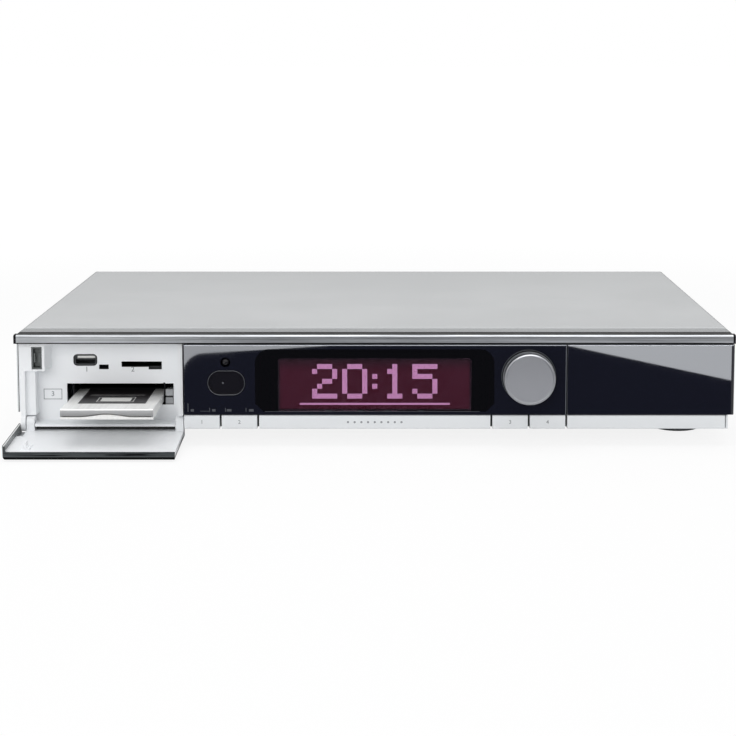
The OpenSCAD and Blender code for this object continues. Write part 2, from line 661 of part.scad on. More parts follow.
// The white moulding behind the flap: a shallow box with a latch block, two hinge lugs and the slots.
module compartment_tray() color("white") placed() difference() {
    union() {
        difference() {
            span([bay_x0, tray_y0, tray_z0], [bay_x1, bay_d + 2, beam_z]);
            span([wall_x, tray_y0 - 1, tray_z], [bay_x1 - wall_t - 0.4, bay_d, beam_z - 1.2]);
        }
        rod_x(lug_r, bay_x0, wall_x, hinge_y, hinge_z);
        rod_x(lug_right_r, lug_x0, lug_x1, hinge_y, hinge_z);
        span([lug_x0, hinge_y, hinge_z - lug_right_r + 0.4], [lug_x1, bay_d + 2, hinge_z + lug_right_r]);
        span([bay_x1 - 3, bay_d, tray_z0 + 1], [lug_x1, bay_d + 2, hinge_z + lug_right_r]);
        span([wall_x - 1, hinge_y, notch_top], [arm_left + arm_w + 0.5, bay_d + 1, latch_z - latch_h / 2 - 1]);
        latch_block();
        span([wall_x + 6, bay_d + 1, tub_top], [bay_x1 - 8, bay_d + 12, tub_top + 1.5]);
    }
    for (x = [arm_left, arm_right]) span([x - seam, tray_y0 - 1, tray_z0 - 1],
        [x + arm_w + (x < arm_right ? seam : 0.2), hinge_y + arm_r + seam, notch_top]);
    rod_x(pin_r, bay_x0 + 0.2, wall_x + 1, hinge_y, hinge_z);
    rod_x(pin_r, lug_x0 - 1, bay_x1 + 2.5, hinge_y, hinge_z);
    span([latch_x - latch_w / 2 - 0.1, tray_y0 - 1, latch_z - latch_h / 2 - 0.1],
        [latch_x + latch_w / 2 + 0.1, bay_d + 1, latch_z + latch_h / 2 + 0.1]);
    span([slot_x0, bay_d - 1, slot_z0], [slot_x1, bay_d + 3, slot_z1]);
    along_y(bay_d - 1, bay_d + 3) rounded(usb_x - 7.25, usb_z - 3.6, usb_x + 7.25, usb_z + 3.6, 2.4);
    mouth(service_x, service_z, 5.8, 2.9, bay_d - 1, bay_d + 3);
    mouth(sd_x, sd_z, sd_w, 3.4, bay_d - 1, bay_d + 3);
    mouth(sd_x + sd_w / 2 - 4, sd_z - 2.2, 8, 2, bay_d - 1, bay_d + 3);
}

// The block around the latch, its inner side drafted.
module latch_block() translate([0, 0, latch_z - latch_h / 2 - 1.1])
    linear_extrude(beam_z - 1 - (latch_z - latch_h / 2 - 1.1))
        polygon([[wall_x - 1, tray_y0], [latch_block_x1, tray_y0], [latch_block_x1 + 2, bay_d + 1],
            [wall_x - 1, bay_d + 1]]);

// The latch's grey case, closed at the back.
module latch_housing() color("dimgray") placed() difference() {
    mouth(latch_x, latch_z, latch_w, latch_h, latch_y0, latch_inner + 1);
    mouth(latch_x, latch_z, latch_w - 1.6, latch_h - 1.6, latch_y0 - 1, latch_inner);
}

// The touch latch: a sprung plunger with two jaws.
module latch_slider() color("gray") placed() {
    mouth(latch_x, latch_z, latch_w - 2.2, latch_h - 2.2, slider_y1 - 5, slider_y1);
    for (side = [-1, 1])
        mouth(latch_x + side * (latch_w / 2 - 1.55), latch_z, 0.9, 5.5, latch_y0 + 0.7, latch_y0 + 4);
}

// The sheet-metal cage of the two access module slots, on four legs, with guides for the eject rods.
module module_cage() color("lightsteelblue") placed() difference() {
    union() {
        difference() {
            span([cage_x0, cage_y0, cage_z0], [cage_x1, module_end + 3, cage_z1]);
            span([cage_x0 + cage_t, cage_y0 - 1, cage_z0 + cage_t],
                [cage_x1 - cage_t, module_end + 4, cage_z1 - cage_t]);
        }
        span([cage_x0, rail_y, shelf_z], [cage_x1, module_end + 3, shelf_z + 0.6]);
        for (x = [cage_x0, cage_x1 - cage_t - 1.9])
            span([x, rail_y, cage_z0], [x + cage_t + 1.9, module_end + 3, module_z0 - fit]);
        for (x = [cage_x0, cage_x1 - 6], y = [cage_y0 + 12, module_end - 12])
            span([x, y, tub_top], [x + 6, y + 6, cage_z0 + cage_t / 2]);
        for (y = guide_y) span([cage_x1 - cage_t / 2, y, cage_z0], [eject_x1, y + guide_t, cage_z1]);
    }
    for (z = eject_z) rod_hole(z);
}

// The slot that an eject rod runs in, through every guide.
module rod_hole(z) span([eject_mid - rod_w / 2 - fit, guide_y[0] - 1, z + eject_h / 2 - rod_w / 2 - fit],
    [eject_mid + rod_w / 2 + fit, guide_y[1] + guide_t + 1, z + eject_h / 2 + rod_w / 2 + fit]);

// An eject button and its rod.
module eject_button(z) {
    span([eject_x0, bay_d + 1, z], [eject_x1, button_y1, z + eject_h]);
    span([eject_mid - rod_w / 2, button_y1 - 1, z + eject_h / 2 - rod_w / 2],
        [eject_mid + rod_w / 2, rod_end, z + eject_h / 2 + rod_w / 2]);
}

module eject_lower() color("gray") placed() eject_button(eject_z[0]);
module eject_upper() color("gray") placed() eject_button(eject_z[1]);

// The pin header at the back of the lower slot.
module module_connector() color("black") placed()
    span([cage_x0 + cage_t, module_end + 0.4, module_z0 - fit], [cage_x1 - cage_t, module_end + 5, shelf_z]);

// Moves a piece of the access module out with the flap.
module on_slide() translate([0, -module_out, 0]) children();

wave_w = 32;
wave_h = 1.5;
wave_t = 0.7;
wave_z = module_z0 + 0.9;

// The wavy seam across the front of the access module's grip, with a low hump in its middle.
function wave(x) = abs(x) < wave_w / 2 ? wave_h * (1 + cos(360 * x / wave_w)) / 2 : 0;
module grip_seam() let (m = (module_x0 + module_x1) / 2, w = module_w / 2 - 1,
    xs = concat([-w], [for (i = [-8:8]) i * wave_w / 16], [w]))
    polygon(concat([for (x = xs) [m + x, wave_z + wave(x)]],
        [for (i = [len(xs) - 1:-1:0]) [m + xs[i], wave_z + wave_t + wave(xs[i])]]));

// The access module: a thin case with a thicker grip, a card slot and a wavy seam in front of it.
module access_module() color("lightgray") placed() on_slide() difference() {
    union() {
        span([module_x0, module_y0 + grip_l - 1, module_z0], [module_x1, module_end, module_z1]);
        along_x(module_x0, module_x1) polygon([[module_y0, module_z0 - 0.1], [module_y0 + 0.4, module_z0 - 0.5],
            [module_y0 + grip_l, module_z0 - 0.5], [module_y0 + grip_l, module_z1 + 0.6],
            [module_y0 + 0.6, module_z1 + 0.6], [module_y0, module_z1]]);
    }
    span([module_x0 + 1, module_y0 + 4, module_z0 + 1.2], [module_x1 - 1, module_y0 + 60, module_z0 + 2.3]);
    along_y(module_y0 - 1, module_y0 + 5) grip_seam();
}

// The dark plate on top of the access module.
module module_label() color([0.1, 0.1, 0.1]) placed() on_slide()
    span([module_x0 + 7, module_y0 + grip_l + 0.4, module_z1], [module_x1 - 7, module_end - 12, module_z1 + 0.2]);

// The small board over the cage that carries the front sockets.
module port_board() color("darkgreen") placed() {
    span([cage_x0 - 4, cage_y0 + 0.4, port_z], [cage_x1 + 5, cage_y0 + 42, port_top]);
    for (x = [cage_x0 + 4, cage_x1 - 4], y = [cage_y0 + 6, cage_y0 + 36]) post(2.5, cage_z1, port_z + 0.5, x, y);
}

// The front socket for a memory stick: metal shell, tongue and the riser that lifts it off the board.
module usb_socket() color("silver") placed() {
    difference() {
        along_y(cage_y0 - 1.6, cage_y0 + 14) rounded(usb_x - 6.6, usb_z - 2.95, usb_x + 6.6, usb_z + 2.95, 1.6);
        along_y(cage_y0 - 3, cage_y0 + 10) rounded(usb_x - 6.1, usb_z - 2.45, usb_x + 6.1, usb_z + 2.45, 1.1);
    }
    span([usb_x - 5.5, cage_y0 - 0.8, usb_z + 0.3], [usb_x + 5.5, cage_y0 + 11, usb_z + 2.1]);
    span([usb_x - 6, cage_y0 + 0.6, port_top], [usb_x + 6, cage_y0 + 13, usb_z - 2.6]);
}

// The small service socket.
module service_socket() color("black") placed() difference() {
    span([service_x - 3.6, cage_y0, port_top], [service_x + 3.6, cage_y0 + 8, service_z + 2.2]);
    mouth(service_x, service_z, 5.2, 2.3, cage_y0 - 1, cage_y0 + 6);
}

// The memory card socket.
module card_socket() color("dimgray") placed() difference() {
    span([sd_x - sd_w / 2 - 1, cage_y0, port_top], [sd_x + sd_w / 2 + 1, cage_y0 + 28, sd_z + 2.6]);
    mouth(sd_x, sd_z, sd_w - 0.2, 3, cage_y0 - 1, cage_y0 + 26);
}

// ---------------------------------------------------------------- boards and drives

// The main board.
module main_board() color("darkgreen") placed() difference() {
    span([main_x0, main_y0, board_z], [main_x1, rear_y - 1, board_top]);
    for (p = board_posts) post(1.6, board_z - 1, board_top + 1, p[0], p[1]);
}

// The main chip's heat sink: a base plate with upright fins.
module heat_sink() color("silver") placed() translate([scart_x - 37, main_y0 + 54, board_top]) {
    cube([44, 44, 5]);
    for (i = [0:8]) translate([i * 5.3, 0, 4.5]) cube([1.6, 44, 14]);
}

// The screened case of the two tuners.
module tuner_can() color("silver") placed() span([jack_x[0] - 10, rear_y - 45, board_top],
    [jack_x[1] + 10, rear_y - 0.3, board_top + 33]);

// The four aerial jacks: stud, centre hole and hexagonal nut.
module aerial_jacks() color("silver") placed() for (x = jack_x, z = jack_z) difference() {
    union() {
        rod_y(jack_r, rear_y - 0.3, rear_out + jack_l, x, z);
        translate([x, rear_out, z]) rotate([-90, 0, 0]) cylinder(r = 6.6, h = 2, $fn = 6);
    }
    rod_y(1.1, rear_out + 3, rear_out + jack_l + 1, x, z);
}

// The block of four round audio jacks.
module cinch_block() color("black") placed() difference() {
    union() {
        span([cinch_x[0] - 6.5, rear_y - 14, board_top], [cinch_x[1] + 6.5, rear_y - 0.3, cinch_z[1] + 6.5]);
        for (x = cinch_x, z = cinch_z) rod_y(4.15, rear_y - 1, rear_out + 8, x, z);
    }
    for (x = cinch_x, z = cinch_z) rod_y(1.65, rear_out - 2, rear_out + 9, x, z);
}

// A socket's case on the main board and its neck through the rear panel.
module rear_socket(x, height, depth, neck, out) {
    span([x - neck[0] / 2, rear_y - depth, board_top], [x + neck[0] / 2, rear_y - fit, board_top + height]);
    mouth(x, neck[2], neck[0], neck[1], rear_y - 1, rear_out + out);
}

// The optical audio socket, with its shutter shut.
module optical_socket() color("black") placed() difference() {
    rear_socket(optical_x, 10.1, 12, optical_neck, 0.6);
    mouth(optical_x, board_top + 5.6, 6.4, 6.4, rear_out - 1, rear_out + 1);
}

// The wide audio and video socket: a shroud around a block of contact slots.
module scart_socket() color("black") placed() difference() {
    rear_socket(scart_x, 16.2, 16, scart_neck, 1.2);
    difference() {
        mouth(scart_x, scart_z, 46, 12.4, rear_out - 8, rear_out + 2);
        mouth(scart_x, scart_z, 42, 8.4, rear_out - 9, rear_out + 3);
    }
    for (i = [0:9]) for (row = [-1, 1])
        mouth(scart_x - 17.1 + i * 3.8, scart_z + row * 2, 1, 3, rear_out - 7, rear_out + 2);
}

module hdmi_socket() color("silver") placed() {
    difference() {
        rear_socket(hdmi_x, 7.2, 11, hdmi_neck, 0.4);
        mouth(hdmi_x, hdmi_neck[2], 13.8, 4.6, rear_y - 8, rear_out + 1);
    }
    mouth(hdmi_x, hdmi_neck[2], 11, 1.2, rear_y - 9, rear_out - 1);
}

// The network socket.
module network_socket() color("silver") placed() difference() {
    rear_socket(lan_x, 13.8, 16, lan_neck, 0.4);
    mouth(lan_x, board_top + 7.4, 11.8, 7, rear_y - 11, rear_out + 1);
    mouth(lan_x, board_top + 2.8, 5, 2.6, rear_y - 11, rear_out + 1);
}

module rear_usb_socket() color("silver") placed() {
    difference() {
        rear_socket(usb_back_x, 7.6, 13, usb_back_neck, 0.4);
        mouth(usb_back_x, usb_back_neck[2], 12.2, 5, rear_y - 10, rear_out + 1);
    }
    mouth(usb_back_x, usb_back_neck[2] + 1, 11, 1.8, rear_y - 11, rear_out - 1);
}

// The power supply's board.
module power_board() color("olive") placed() difference() {
    span([power_x0, power_y0, board_z], [power_x1, power_y1, board_top]);
    for (p = power_posts) post(1.6, board_z - 1, board_top + 1, p[0], p[1]);
}

// The transformer: bobbin, winding and core.
module transformer() color("goldenrod") placed() translate([switch_x + 4, power_y1 - 75, board_top]) {
    span([-18, -17, 0], [18, 17, 6]);
    post(13, 5, 22, 0, 0);
    span([-16, -7, 5], [16, 7, 28]);
}

// The power supply's round capacitors.
module capacitors() color("navy") placed() {
    post(9, board_top, board_top + 32, inlet_x + 2, power_y1 - 46);
    for (x = [0, 15], y = [0, 16]) post(5, board_top, board_top + 20, power_x0 + 23 + x, power_y0 + 32 + y);
}

// The mains inlet: a flanged case with a chamfered cavity and three blades.
module mains_inlet() color("black") placed() {
    difference() {
        union() {
            mouth(inlet_x, power_z, 27, 19.6, rear_y - 18, rear_out);
            span([inlet_x - 10, rear_y - 17, board_top], [inlet_x + 10, rear_y - 3, power_z]);
            along_y(rear_out, rear_out + 3) chamfered(inlet_x - 15.5, power_z - 12, inlet_x + 15.5, power_z + 12, 2);
        }
        along_y(rear_out - 13, rear_out + 4) polygon([[inlet_x - 12, power_z - 8], [inlet_x + 12, power_z - 8],
            [inlet_x + 12, power_z + 3], [inlet_x + 8, power_z + 8], [inlet_x - 8, power_z + 8], [inlet_x - 12, power_z + 3]]);
    }
    for (p = [[-7, -1.5], [0, 2.5], [7, -1.5]])
        mouth(inlet_x + p[0], power_z + p[1], 2, 4.6, rear_out - 14, rear_out - 1);
}

rocker_y = rear_out - 2;
rocker_tilt = 11;

// The mains switch's case, with bearings for the rocker.
module mains_switch() color("black") placed() difference() {
    union() {
        mouth(switch_x, power_z, 12.8, 19, rear_y - 14, rear_out);
        mouth(switch_x, power_z, 15, 21.4, rear_out, rear_out + 1.4);
        span([switch_x - 5, rear_y - 13, board_top], [switch_x + 5, rear_y - 3, power_z - 9]);
    }
    mouth(switch_x, power_z, 9.6, 17.6, rear_y - 9, rear_out + 2);
    rod_x(1.2 + run_fit, switch_x - 5.9, switch_x + 5.9, rocker_y, power_z);
}

// The rocker, drawn pressed to one side.
module mains_rocker() color("black") placed() translate([0, rocker_y, power_z]) rotate([rocker_tilt, 0, 0]) {
    along_x(switch_x - 4.5, switch_x + 4.5)
        polygon([[-4, -4], [-4, 4], [0, 7], [4.4, 7.4], [3, 0], [4.4, -7.4], [0, -7]]);
    rod_x(1.2, switch_x - 5.7, switch_x + 5.7, 0, 0);
}

// The hard disk: a cast body with a domed lid.
module hard_disk() color("silver") placed() translate([disk_x0, disk_y0, disk_z0]) {
    cube([disk_w, disk_l, disk_h]);
    translate([disk_w / 2, 60, disk_h - 0.5]) cylinder(r = 46, h = 4.6, $fn = 96);
}

bracket_y0 = disk_y0 + 10;
bracket_y1 = disk_y0 + disk_l - 10;
bracket_leg = 30;

// The folded bracket that carries the disk on the tub's floor.
module disk_bracket() color("silver") placed() {
    span([disk_x0 - sheet_t, bracket_y0, disk_z0 - sheet_t], [disk_x1 + sheet_t, bracket_y1, disk_z0]);
    for (x = [disk_x0 - sheet_t, disk_x1]) {
        for (y = [bracket_y0, bracket_y1 - bracket_leg])
            span([x, y, tub_top], [x + sheet_t, y + bracket_leg, disk_z0]);
        span([x, bracket_y0, disk_z0 - 1], [x + sheet_t, bracket_y1, disk_z0 + disk_h / 2 + 1]);
    }
}

base_tub();
top_cover();
rear_panel();
front_frame();
compartment_tray();
trim_bar();
display_panel();
right_panel();
centre_strip();
right_strip();
infrared_eye();
sensor_bezel();
dial_ring();
display_module();
front_board();
key_switches();
encoder_body();
encoder_rotor();
dial_shaft();
dial_knob();
key_power();
key_mode();
key_media();
key_back_step();
latch_housing();
latch_slider();
flap_face();
flap_strip();
flap_liner();
hinge_pins();
module_cage();
module_connector();
access_module();
module_label();
eject_lower();
eject_upper();
port_board();
usb_socket();
service_socket();
card_socket();
main_board();
heat_sink();
tuner_can();
aerial_jacks();
cinch_block();
optical_socket();
scart_socket();
hdmi_socket();
network_socket();
rear_usb_socket();
power_board();
transformer();
capacitors();
mains_inlet();
mains_switch();
mains_rocker();
hard_disk();
disk_bracket();
feet();
screws();
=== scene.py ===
# %% [markdown]
# # Dressing a satellite receiver
# A receiver is a steel box with a good-looking face: satin silver paint, a brushed bar, black acrylic,
# silver keys and a white card bay. The CAD frame holds every solid at its real size. This notebook gives
# each of them its finish and adds what is too fine for the CAD: print, threads, contacts and dots of light.
# The frame is loaded first and measured at once, because every later place is worked out from it.

# %% Load the frame
import json
import math
import bmesh
import bpy
import numpy as np
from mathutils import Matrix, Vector


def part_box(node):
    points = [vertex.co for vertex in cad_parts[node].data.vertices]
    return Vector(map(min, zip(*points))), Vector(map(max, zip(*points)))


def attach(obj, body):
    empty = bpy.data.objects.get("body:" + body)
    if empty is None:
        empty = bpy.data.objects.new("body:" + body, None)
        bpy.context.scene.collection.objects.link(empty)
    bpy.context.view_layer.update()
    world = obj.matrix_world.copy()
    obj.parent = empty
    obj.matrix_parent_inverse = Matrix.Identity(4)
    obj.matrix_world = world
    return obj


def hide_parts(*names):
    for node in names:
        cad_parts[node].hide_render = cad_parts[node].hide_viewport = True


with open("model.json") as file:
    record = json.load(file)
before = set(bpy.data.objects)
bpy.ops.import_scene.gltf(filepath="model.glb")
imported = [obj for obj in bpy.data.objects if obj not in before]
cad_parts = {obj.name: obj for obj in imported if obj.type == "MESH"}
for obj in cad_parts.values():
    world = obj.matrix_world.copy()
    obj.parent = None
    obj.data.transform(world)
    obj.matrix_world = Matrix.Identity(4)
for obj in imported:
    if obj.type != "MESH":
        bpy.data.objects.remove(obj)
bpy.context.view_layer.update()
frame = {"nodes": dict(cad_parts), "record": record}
nodes = frame["nodes"]
mm = 0.001

panel_low, panel_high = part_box("display_panel")
right_low, right_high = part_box("right_panel")
strip_low, strip_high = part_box("centre_strip")
trim_low, trim_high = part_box("trim_bar")
front_y = panel_low.y


def back(distance):
    """The frame's Y of a place that lies some millimetres behind the face of the front panels."""
    return front_y + distance * mm


print("nodes", len(nodes), "front plane at", round(front_y, 4))


# %% [markdown]
# ## The camera
# The receiver was photographed from the front, a little above its cover and slightly right of its middle,
# with a long lens, so its sides hardly narrow. The viewer's eye is 1.05 m in front of the panels and
# 0.24 m above the table. The camera tilts down a little and the rest is done by a shift, which keeps the
# upright edges nearly upright, as a product photographer does.

# %% Camera
eye = Vector((10.76 * mm, back(-1049.43), 242.77 * mm))
tilt_down = 6.283
camera = bpy.data.objects.new("camera", bpy.data.cameras.new("camera"))
bpy.context.scene.collection.objects.link(camera)
camera.location = eye
camera.rotation_euler = (math.radians(90 - tilt_down), 0, 0)
camera.data.sensor_width = 36
camera.data.lens = 87.37
camera.data.shift_x = -0.0336
camera.data.shift_y = -0.18
bpy.context.scene.camera = camera
bpy.context.scene.view_settings.view_transform = "Standard"
print("camera at", tuple(round(v, 3) for v in eye))


# %% [markdown]
# ## Small helpers for nodes
# A material is a tree of nodes. These helpers keep the trees short. An input either takes a value or is
# linked to another node's socket, and `plug` does whichever it is given; the others are built on it. Values
# that are the same all over go straight on the shader's sockets. Masks say where on a piece something is:
# they read the place in metres and give 0 or 1 with a soft edge.

# %% Node helpers
def seen(red, green, blue):
    """A screen colour, 0 to 255, as linear light: ((c / 255 + 0.055) / 1.055) ** 2.4, or c / 3294 when dark."""
    curve = [v / 3294 if v < 11 else ((v / 255 + 0.055) / 1.055) ** 2.4 for v in (red, green, blue)]
    return (*curve, 1.0)


def plug(tree, socket, value):
    """Links another node's socket to an input, or sets the input to a plain value."""
    if isinstance(value, bpy.types.NodeSocket):
        tree.links.new(value, socket)
    else:
        socket.default_value = value


def feed(tree, node, **inputs):
    """Plugs a value into each named input of a node; _0 means input number 0."""
    for key, value in inputs.items():
        plug(tree, node.inputs[int(key[1:]) if key[0] == "_" else key.replace("_", " ")], value)


def put(tree, kind, settings=None, **inputs):
    """Adds a node with its settings and its inputs."""
    node = tree.nodes.new(kind)
    for key, value in (settings or {}).items():
        setattr(node, key, value)
    feed(tree, node, **inputs)
    return node


def maths(tree, operation, a, b=0.0, c=0.0):
    """One Math node; returns its value socket."""
    return put(tree, "ShaderNodeMath", {"operation": operation}, _0=a, _1=b, _2=c).outputs[0]


def scaled(tree, colour, factor):
    """A colour times a number that changes over the surface."""
    vector = colour if isinstance(colour, bpy.types.NodeSocket) else colour[:3]
    return put(tree, "ShaderNodeVectorMath", {"operation": "SCALE"}, _0=vector, Scale=factor).outputs[0]


def blend_colour(tree, factor, first, second):
    """A Mix node on colours: first where the factor is 0, second where it is 1."""
    return put(tree, "ShaderNodeMix", {"data_type": "RGBA"}, _0=factor, _6=first, _7=second).outputs[2]


def spot(tree):
    """The place on the piece in metres, as one vector."""
    return put(tree, "ShaderNodeTexCoord").outputs["Object"]


def where(tree):
    """The same place as the sockets X, Y and Z."""
    return put(tree, "ShaderNodeSeparateXYZ", Vector=spot(tree)).outputs


def step(tree, value, start, end):
    """0 up to start, 1 from end on, and a straight rise between them; end may lie below start."""
    return put(tree, "ShaderNodeMapRange", Value=value, From_Min=start, From_Max=end).outputs[0]


def band(tree, value, low, high, soft):
    """1 between low and high, falling to 0 over a soft edge on both sides."""
    rise, fall = step(tree, value, low - soft, low + soft), step(tree, value, high + soft, high - soft)
    return maths(tree, "MULTIPLY", rise, fall)


def relief(tree, height, strength, distance=0.2 * mm, **others):
    """The normal of a Bump node; distance is how high a height of 1 stands."""
    return put(tree, "ShaderNodeBump", Strength=strength, Distance=distance, Height=height, **others).outputs[0]


def start_material(name, **values):
    """A material with one Principled shader; returns the material, its tree and the shader."""
    material = bpy.data.materials.new(name)
    material.use_nodes = True
    tree = material.node_tree
    shader = tree.nodes["Principled BSDF"]
    feed(tree, shader, **values)
    return material, tree, shader


def start_group(name, inputs, outputs):
    """An empty node group with named sockets; returns it with its input and output nodes."""
    tree = bpy.data.node_groups.new(name, "ShaderNodeTree")
    for title, kind, value in inputs:
        socket = tree.interface.new_socket(name=title, in_out="INPUT", socket_type="NodeSocket" + kind)
        socket.default_value = value
    for title, kind in outputs:
        tree.interface.new_socket(name=title, in_out="OUTPUT", socket_type="NodeSocket" + kind)
    return tree, tree.nodes.new("NodeGroupInput").outputs, tree.nodes.new("NodeGroupOutput").inputs


def use_group(tree, group, **inputs):
    """Places a node group in a material; returns its outputs."""
    return put(tree, "ShaderNodeGroup", {"node_tree": group}, **inputs).outputs


print("helpers ready")


# %% [markdown]
# ## Effects that several finishes share
# Real surfaces are never quite even. Moulded plastic copies the fine spark-eroded grain of its steel
# mould. Handled and wiped surfaces are shinier in soft patches. Brushed metal has long hairlines, and
# turned metal has rings round its axis. Each of these is built once as a group with its own numbers, and
# every material places it with the values of its own piece. All of them read Object coordinates, which are
# metres in the frame, so a pattern has its true size and stays on its piece when the piece moves.

# %% Group: moulded grain
# Height is fine noise for a bump; Tone is 1 + Mottle (cloud - 0.5), a slow change of brightness.
moulded_grain, given, made = start_group(
    "moulded grain", [("Scale", "Float", 3000.0), ("Mottle", "Float", 0.04)],
    [("Height", "Float"), ("Tone", "Float")])
place = spot(moulded_grain)
fine = put(moulded_grain, "ShaderNodeTexNoise", Vector=place, Scale=given["Scale"], Detail=2.0)
cloud = put(moulded_grain, "ShaderNodeTexNoise", Vector=place, Scale=38.0, Detail=3.0)
moulded_grain.links.new(fine.outputs[0], made["Height"])
centred = maths(moulded_grain, "SUBTRACT", cloud.outputs[0], 0.5)
tone = maths(moulded_grain, "MULTIPLY_ADD", centred, given["Mottle"], 1.0)
moulded_grain.links.new(tone, made["Tone"])
print("group", moulded_grain.name)

# %% Group: handling
# Roughness goes smoothly from Polished to Dull as a cloudy noise goes from 0.3 to 0.7.
handling, given, made = start_group(
    "handling", [("Polished", "Float", 0.3), ("Dull", "Float", 0.4), ("Size", "Float", 30.0)],
    [("Roughness", "Float")])
patches = put(handling, "ShaderNodeTexNoise", Vector=spot(handling), Scale=given["Size"], Detail=4.0,
              Roughness=0.6)
spread = put(handling, "ShaderNodeMapRange", {"interpolation_type": "SMOOTHSTEP"}, Value=patches.outputs[0],
             From_Min=0.3, From_Max=0.7, To_Min=given["Polished"], To_Max=given["Dull"])
handling.links.new(spread.outputs[0], made["Roughness"])
print("group", handling.name)

# %% Group: brushed hairlines
# Noise of the place stretched along one axis; Streak is 1 + Contrast (fine hairs + coarse hairs - 1).
brushed, given, made = start_group(
    "brushed hairlines", [("Stretch", "Vector", (12.0, 2600.0, 2600.0)), ("Contrast", "Float", 0.5)],
    [("Streak", "Float"), ("Height", "Float")])
stretched = put(brushed, "ShaderNodeVectorMath", {"operation": "MULTIPLY"},
                _0=spot(brushed), _1=given["Stretch"]).outputs[0]
hairs = put(brushed, "ShaderNodeTexNoise", Vector=stretched, Scale=1.0, Detail=5.0, Roughness=0.75)
coarse_place = put(brushed, "ShaderNodeVectorMath", {"operation": "SCALE"}, _0=stretched, Scale=0.23).outputs[0]
coarse = put(brushed, "ShaderNodeTexNoise", Vector=coarse_place, Scale=1.0, Detail=2.0)
both = maths(brushed, "ADD", hairs.outputs[0], coarse.outputs[0])
even = maths(brushed, "SUBTRACT", both, 1.0)
streak = maths(brushed, "MULTIPLY_ADD", even, given["Contrast"], 1.0)
brushed.links.new(streak, made["Streak"])
brushed.links.new(hairs.outputs[0], made["Height"])
print("group", brushed.name)

# %% Group: turned rings
# Radius is the distance from Centre in the plane that Across keeps; Ring is noise of Radius / Pitch.
turned, given, made = start_group(
    "turned rings", [("Centre", "Vector", (0.0, 0.0, 0.0)), ("Across", "Vector", (1.0, 0.0, 1.0)),
                     ("Pitch", "Float", 0.0004)], [("Ring", "Float"), ("Radius", "Float")])
arm = put(turned, "ShaderNodeVectorMath", {"operation": "SUBTRACT"},
          _0=spot(turned), _1=given["Centre"]).outputs[0]
flat_arm = put(turned, "ShaderNodeVectorMath", {"operation": "MULTIPLY"},
               _0=arm, _1=given["Across"]).outputs[0]
radius = put(turned, "ShaderNodeVectorMath", {"operation": "LENGTH"}, _0=flat_arm).outputs["Value"]
ring_place = maths(turned, "DIVIDE", radius, given["Pitch"])
ring_vector = put(turned, "ShaderNodeCombineXYZ", X=ring_place).outputs[0]
ring = put(turned, "ShaderNodeTexNoise", Vector=ring_vector, Scale=1.0, Detail=4.0, Roughness=0.8)
turned.links.new(ring.outputs[0], made["Ring"])
turned.links.new(radius, made["Radius"])
print("group", turned.name)


# %% [markdown]
# ## Plain finishes
# Most pieces are one of two kinds. A moulded or painted piece is not metallic, has grain, and shines
# unevenly. A bare metal piece reflects its colour and has hairlines. One function makes each kind, and a
# piece's own numbers make it matt, satin or glossy. They are written as functions and not as one big
# table of nodes, because a function can be read, and tried with other numbers, in one place. `skin` builds
# the grain and the shine of any moulded surface, so a finish with a pattern of its own can share them. A
# glossy piece has no mottle and no grain: its colour goes straight to the shader, and no bump is made.

# %% Two kinds of plain finish
def skin(tree, shader, colour, polished, dull, grain=3000.0, depth=0.02, mottle=0.04, patch=30.0):
    """Gives a shader a moulded skin: tone by cloudy noise, roughness by handling, bump by fine grain."""
    wear = use_group(tree, handling, Polished=polished, Dull=dull, Size=patch)
    if mottle or depth:
        surface = use_group(tree, moulded_grain, Scale=grain, Mottle=mottle)
    if mottle:
        colour = scaled(tree, colour, surface["Tone"])
    if depth:
        feed(tree, shader, Normal=relief(tree, surface["Height"], depth))
    feed(tree, shader, Base_Color=colour, Roughness=wear["Roughness"])


def moulded(name, colour, polished, dull, grain=3000.0, depth=0.02, mottle=0.04, patch=30.0, **values):
    """A moulded or painted surface of one colour."""
    material, tree, shader = start_material(name, **values)
    skin(tree, shader, colour, polished, dull, grain, depth, mottle, patch)
    return material


def bare_metal(name, colour, polished, dull, stretch=(12.0, 2600.0, 2600.0), contrast=0.5, depth=0.05):
    """A bare metal surface: colour times hairline streaks, roughness by handling, bump by the hairs."""
    material, tree, shader = start_material(name, Metallic=1.0)
    hairs = use_group(tree, brushed, Stretch=stretch, Contrast=contrast)
    wear = use_group(tree, handling, Polished=polished, Dull=dull, Size=40.0)
    feed(tree, shader, Base_Color=scaled(tree, colour, hairs["Streak"]), Roughness=wear["Roughness"],
         Normal=relief(tree, hairs["Height"], depth))
    return material


finishes = {}
along_y = (2600.0, 12.0, 2600.0)
finishes["tub_steel"] = moulded("tub paint", seen(228, 231, 233), 0.3, 0.42, grain=1500.0, depth=0.05)
finishes["rear_steel"] = moulded("rear panel paint", seen(52, 53, 56), 0.42, 0.58, grain=900.0, depth=0.25)
finishes["board_tan"] = moulded("power board laminate", seen(160, 132, 84), 0.4, 0.5, mottle=0.2)
finishes["part_black"] = moulded("socket plastic", seen(26, 26, 28), 0.35, 0.5, depth=0.08)
finishes["latch_grey"] = moulded("latch plastic", seen(104, 108, 108), 0.4, 0.5, depth=0.1)
finishes["winding_yellow"] = moulded("winding tape", seen(212, 176, 70), 0.25, 0.4, mottle=0.15)
finishes["sleeve_blue"] = moulded("capacitor sleeve", seen(34, 42, 96), 0.2, 0.3)
finishes["eject_grey"] = moulded("eject button plastic", seen(168, 170, 172), 0.3, 0.42, depth=0.1)
finishes["rotor_brass"] = bare_metal("encoder brass", seen(196, 160, 92), 0.3, 0.4)
finishes["steel_plain"] = bare_metal("plated steel", seen(190, 191, 193), 0.22, 0.34, contrast=0.2)
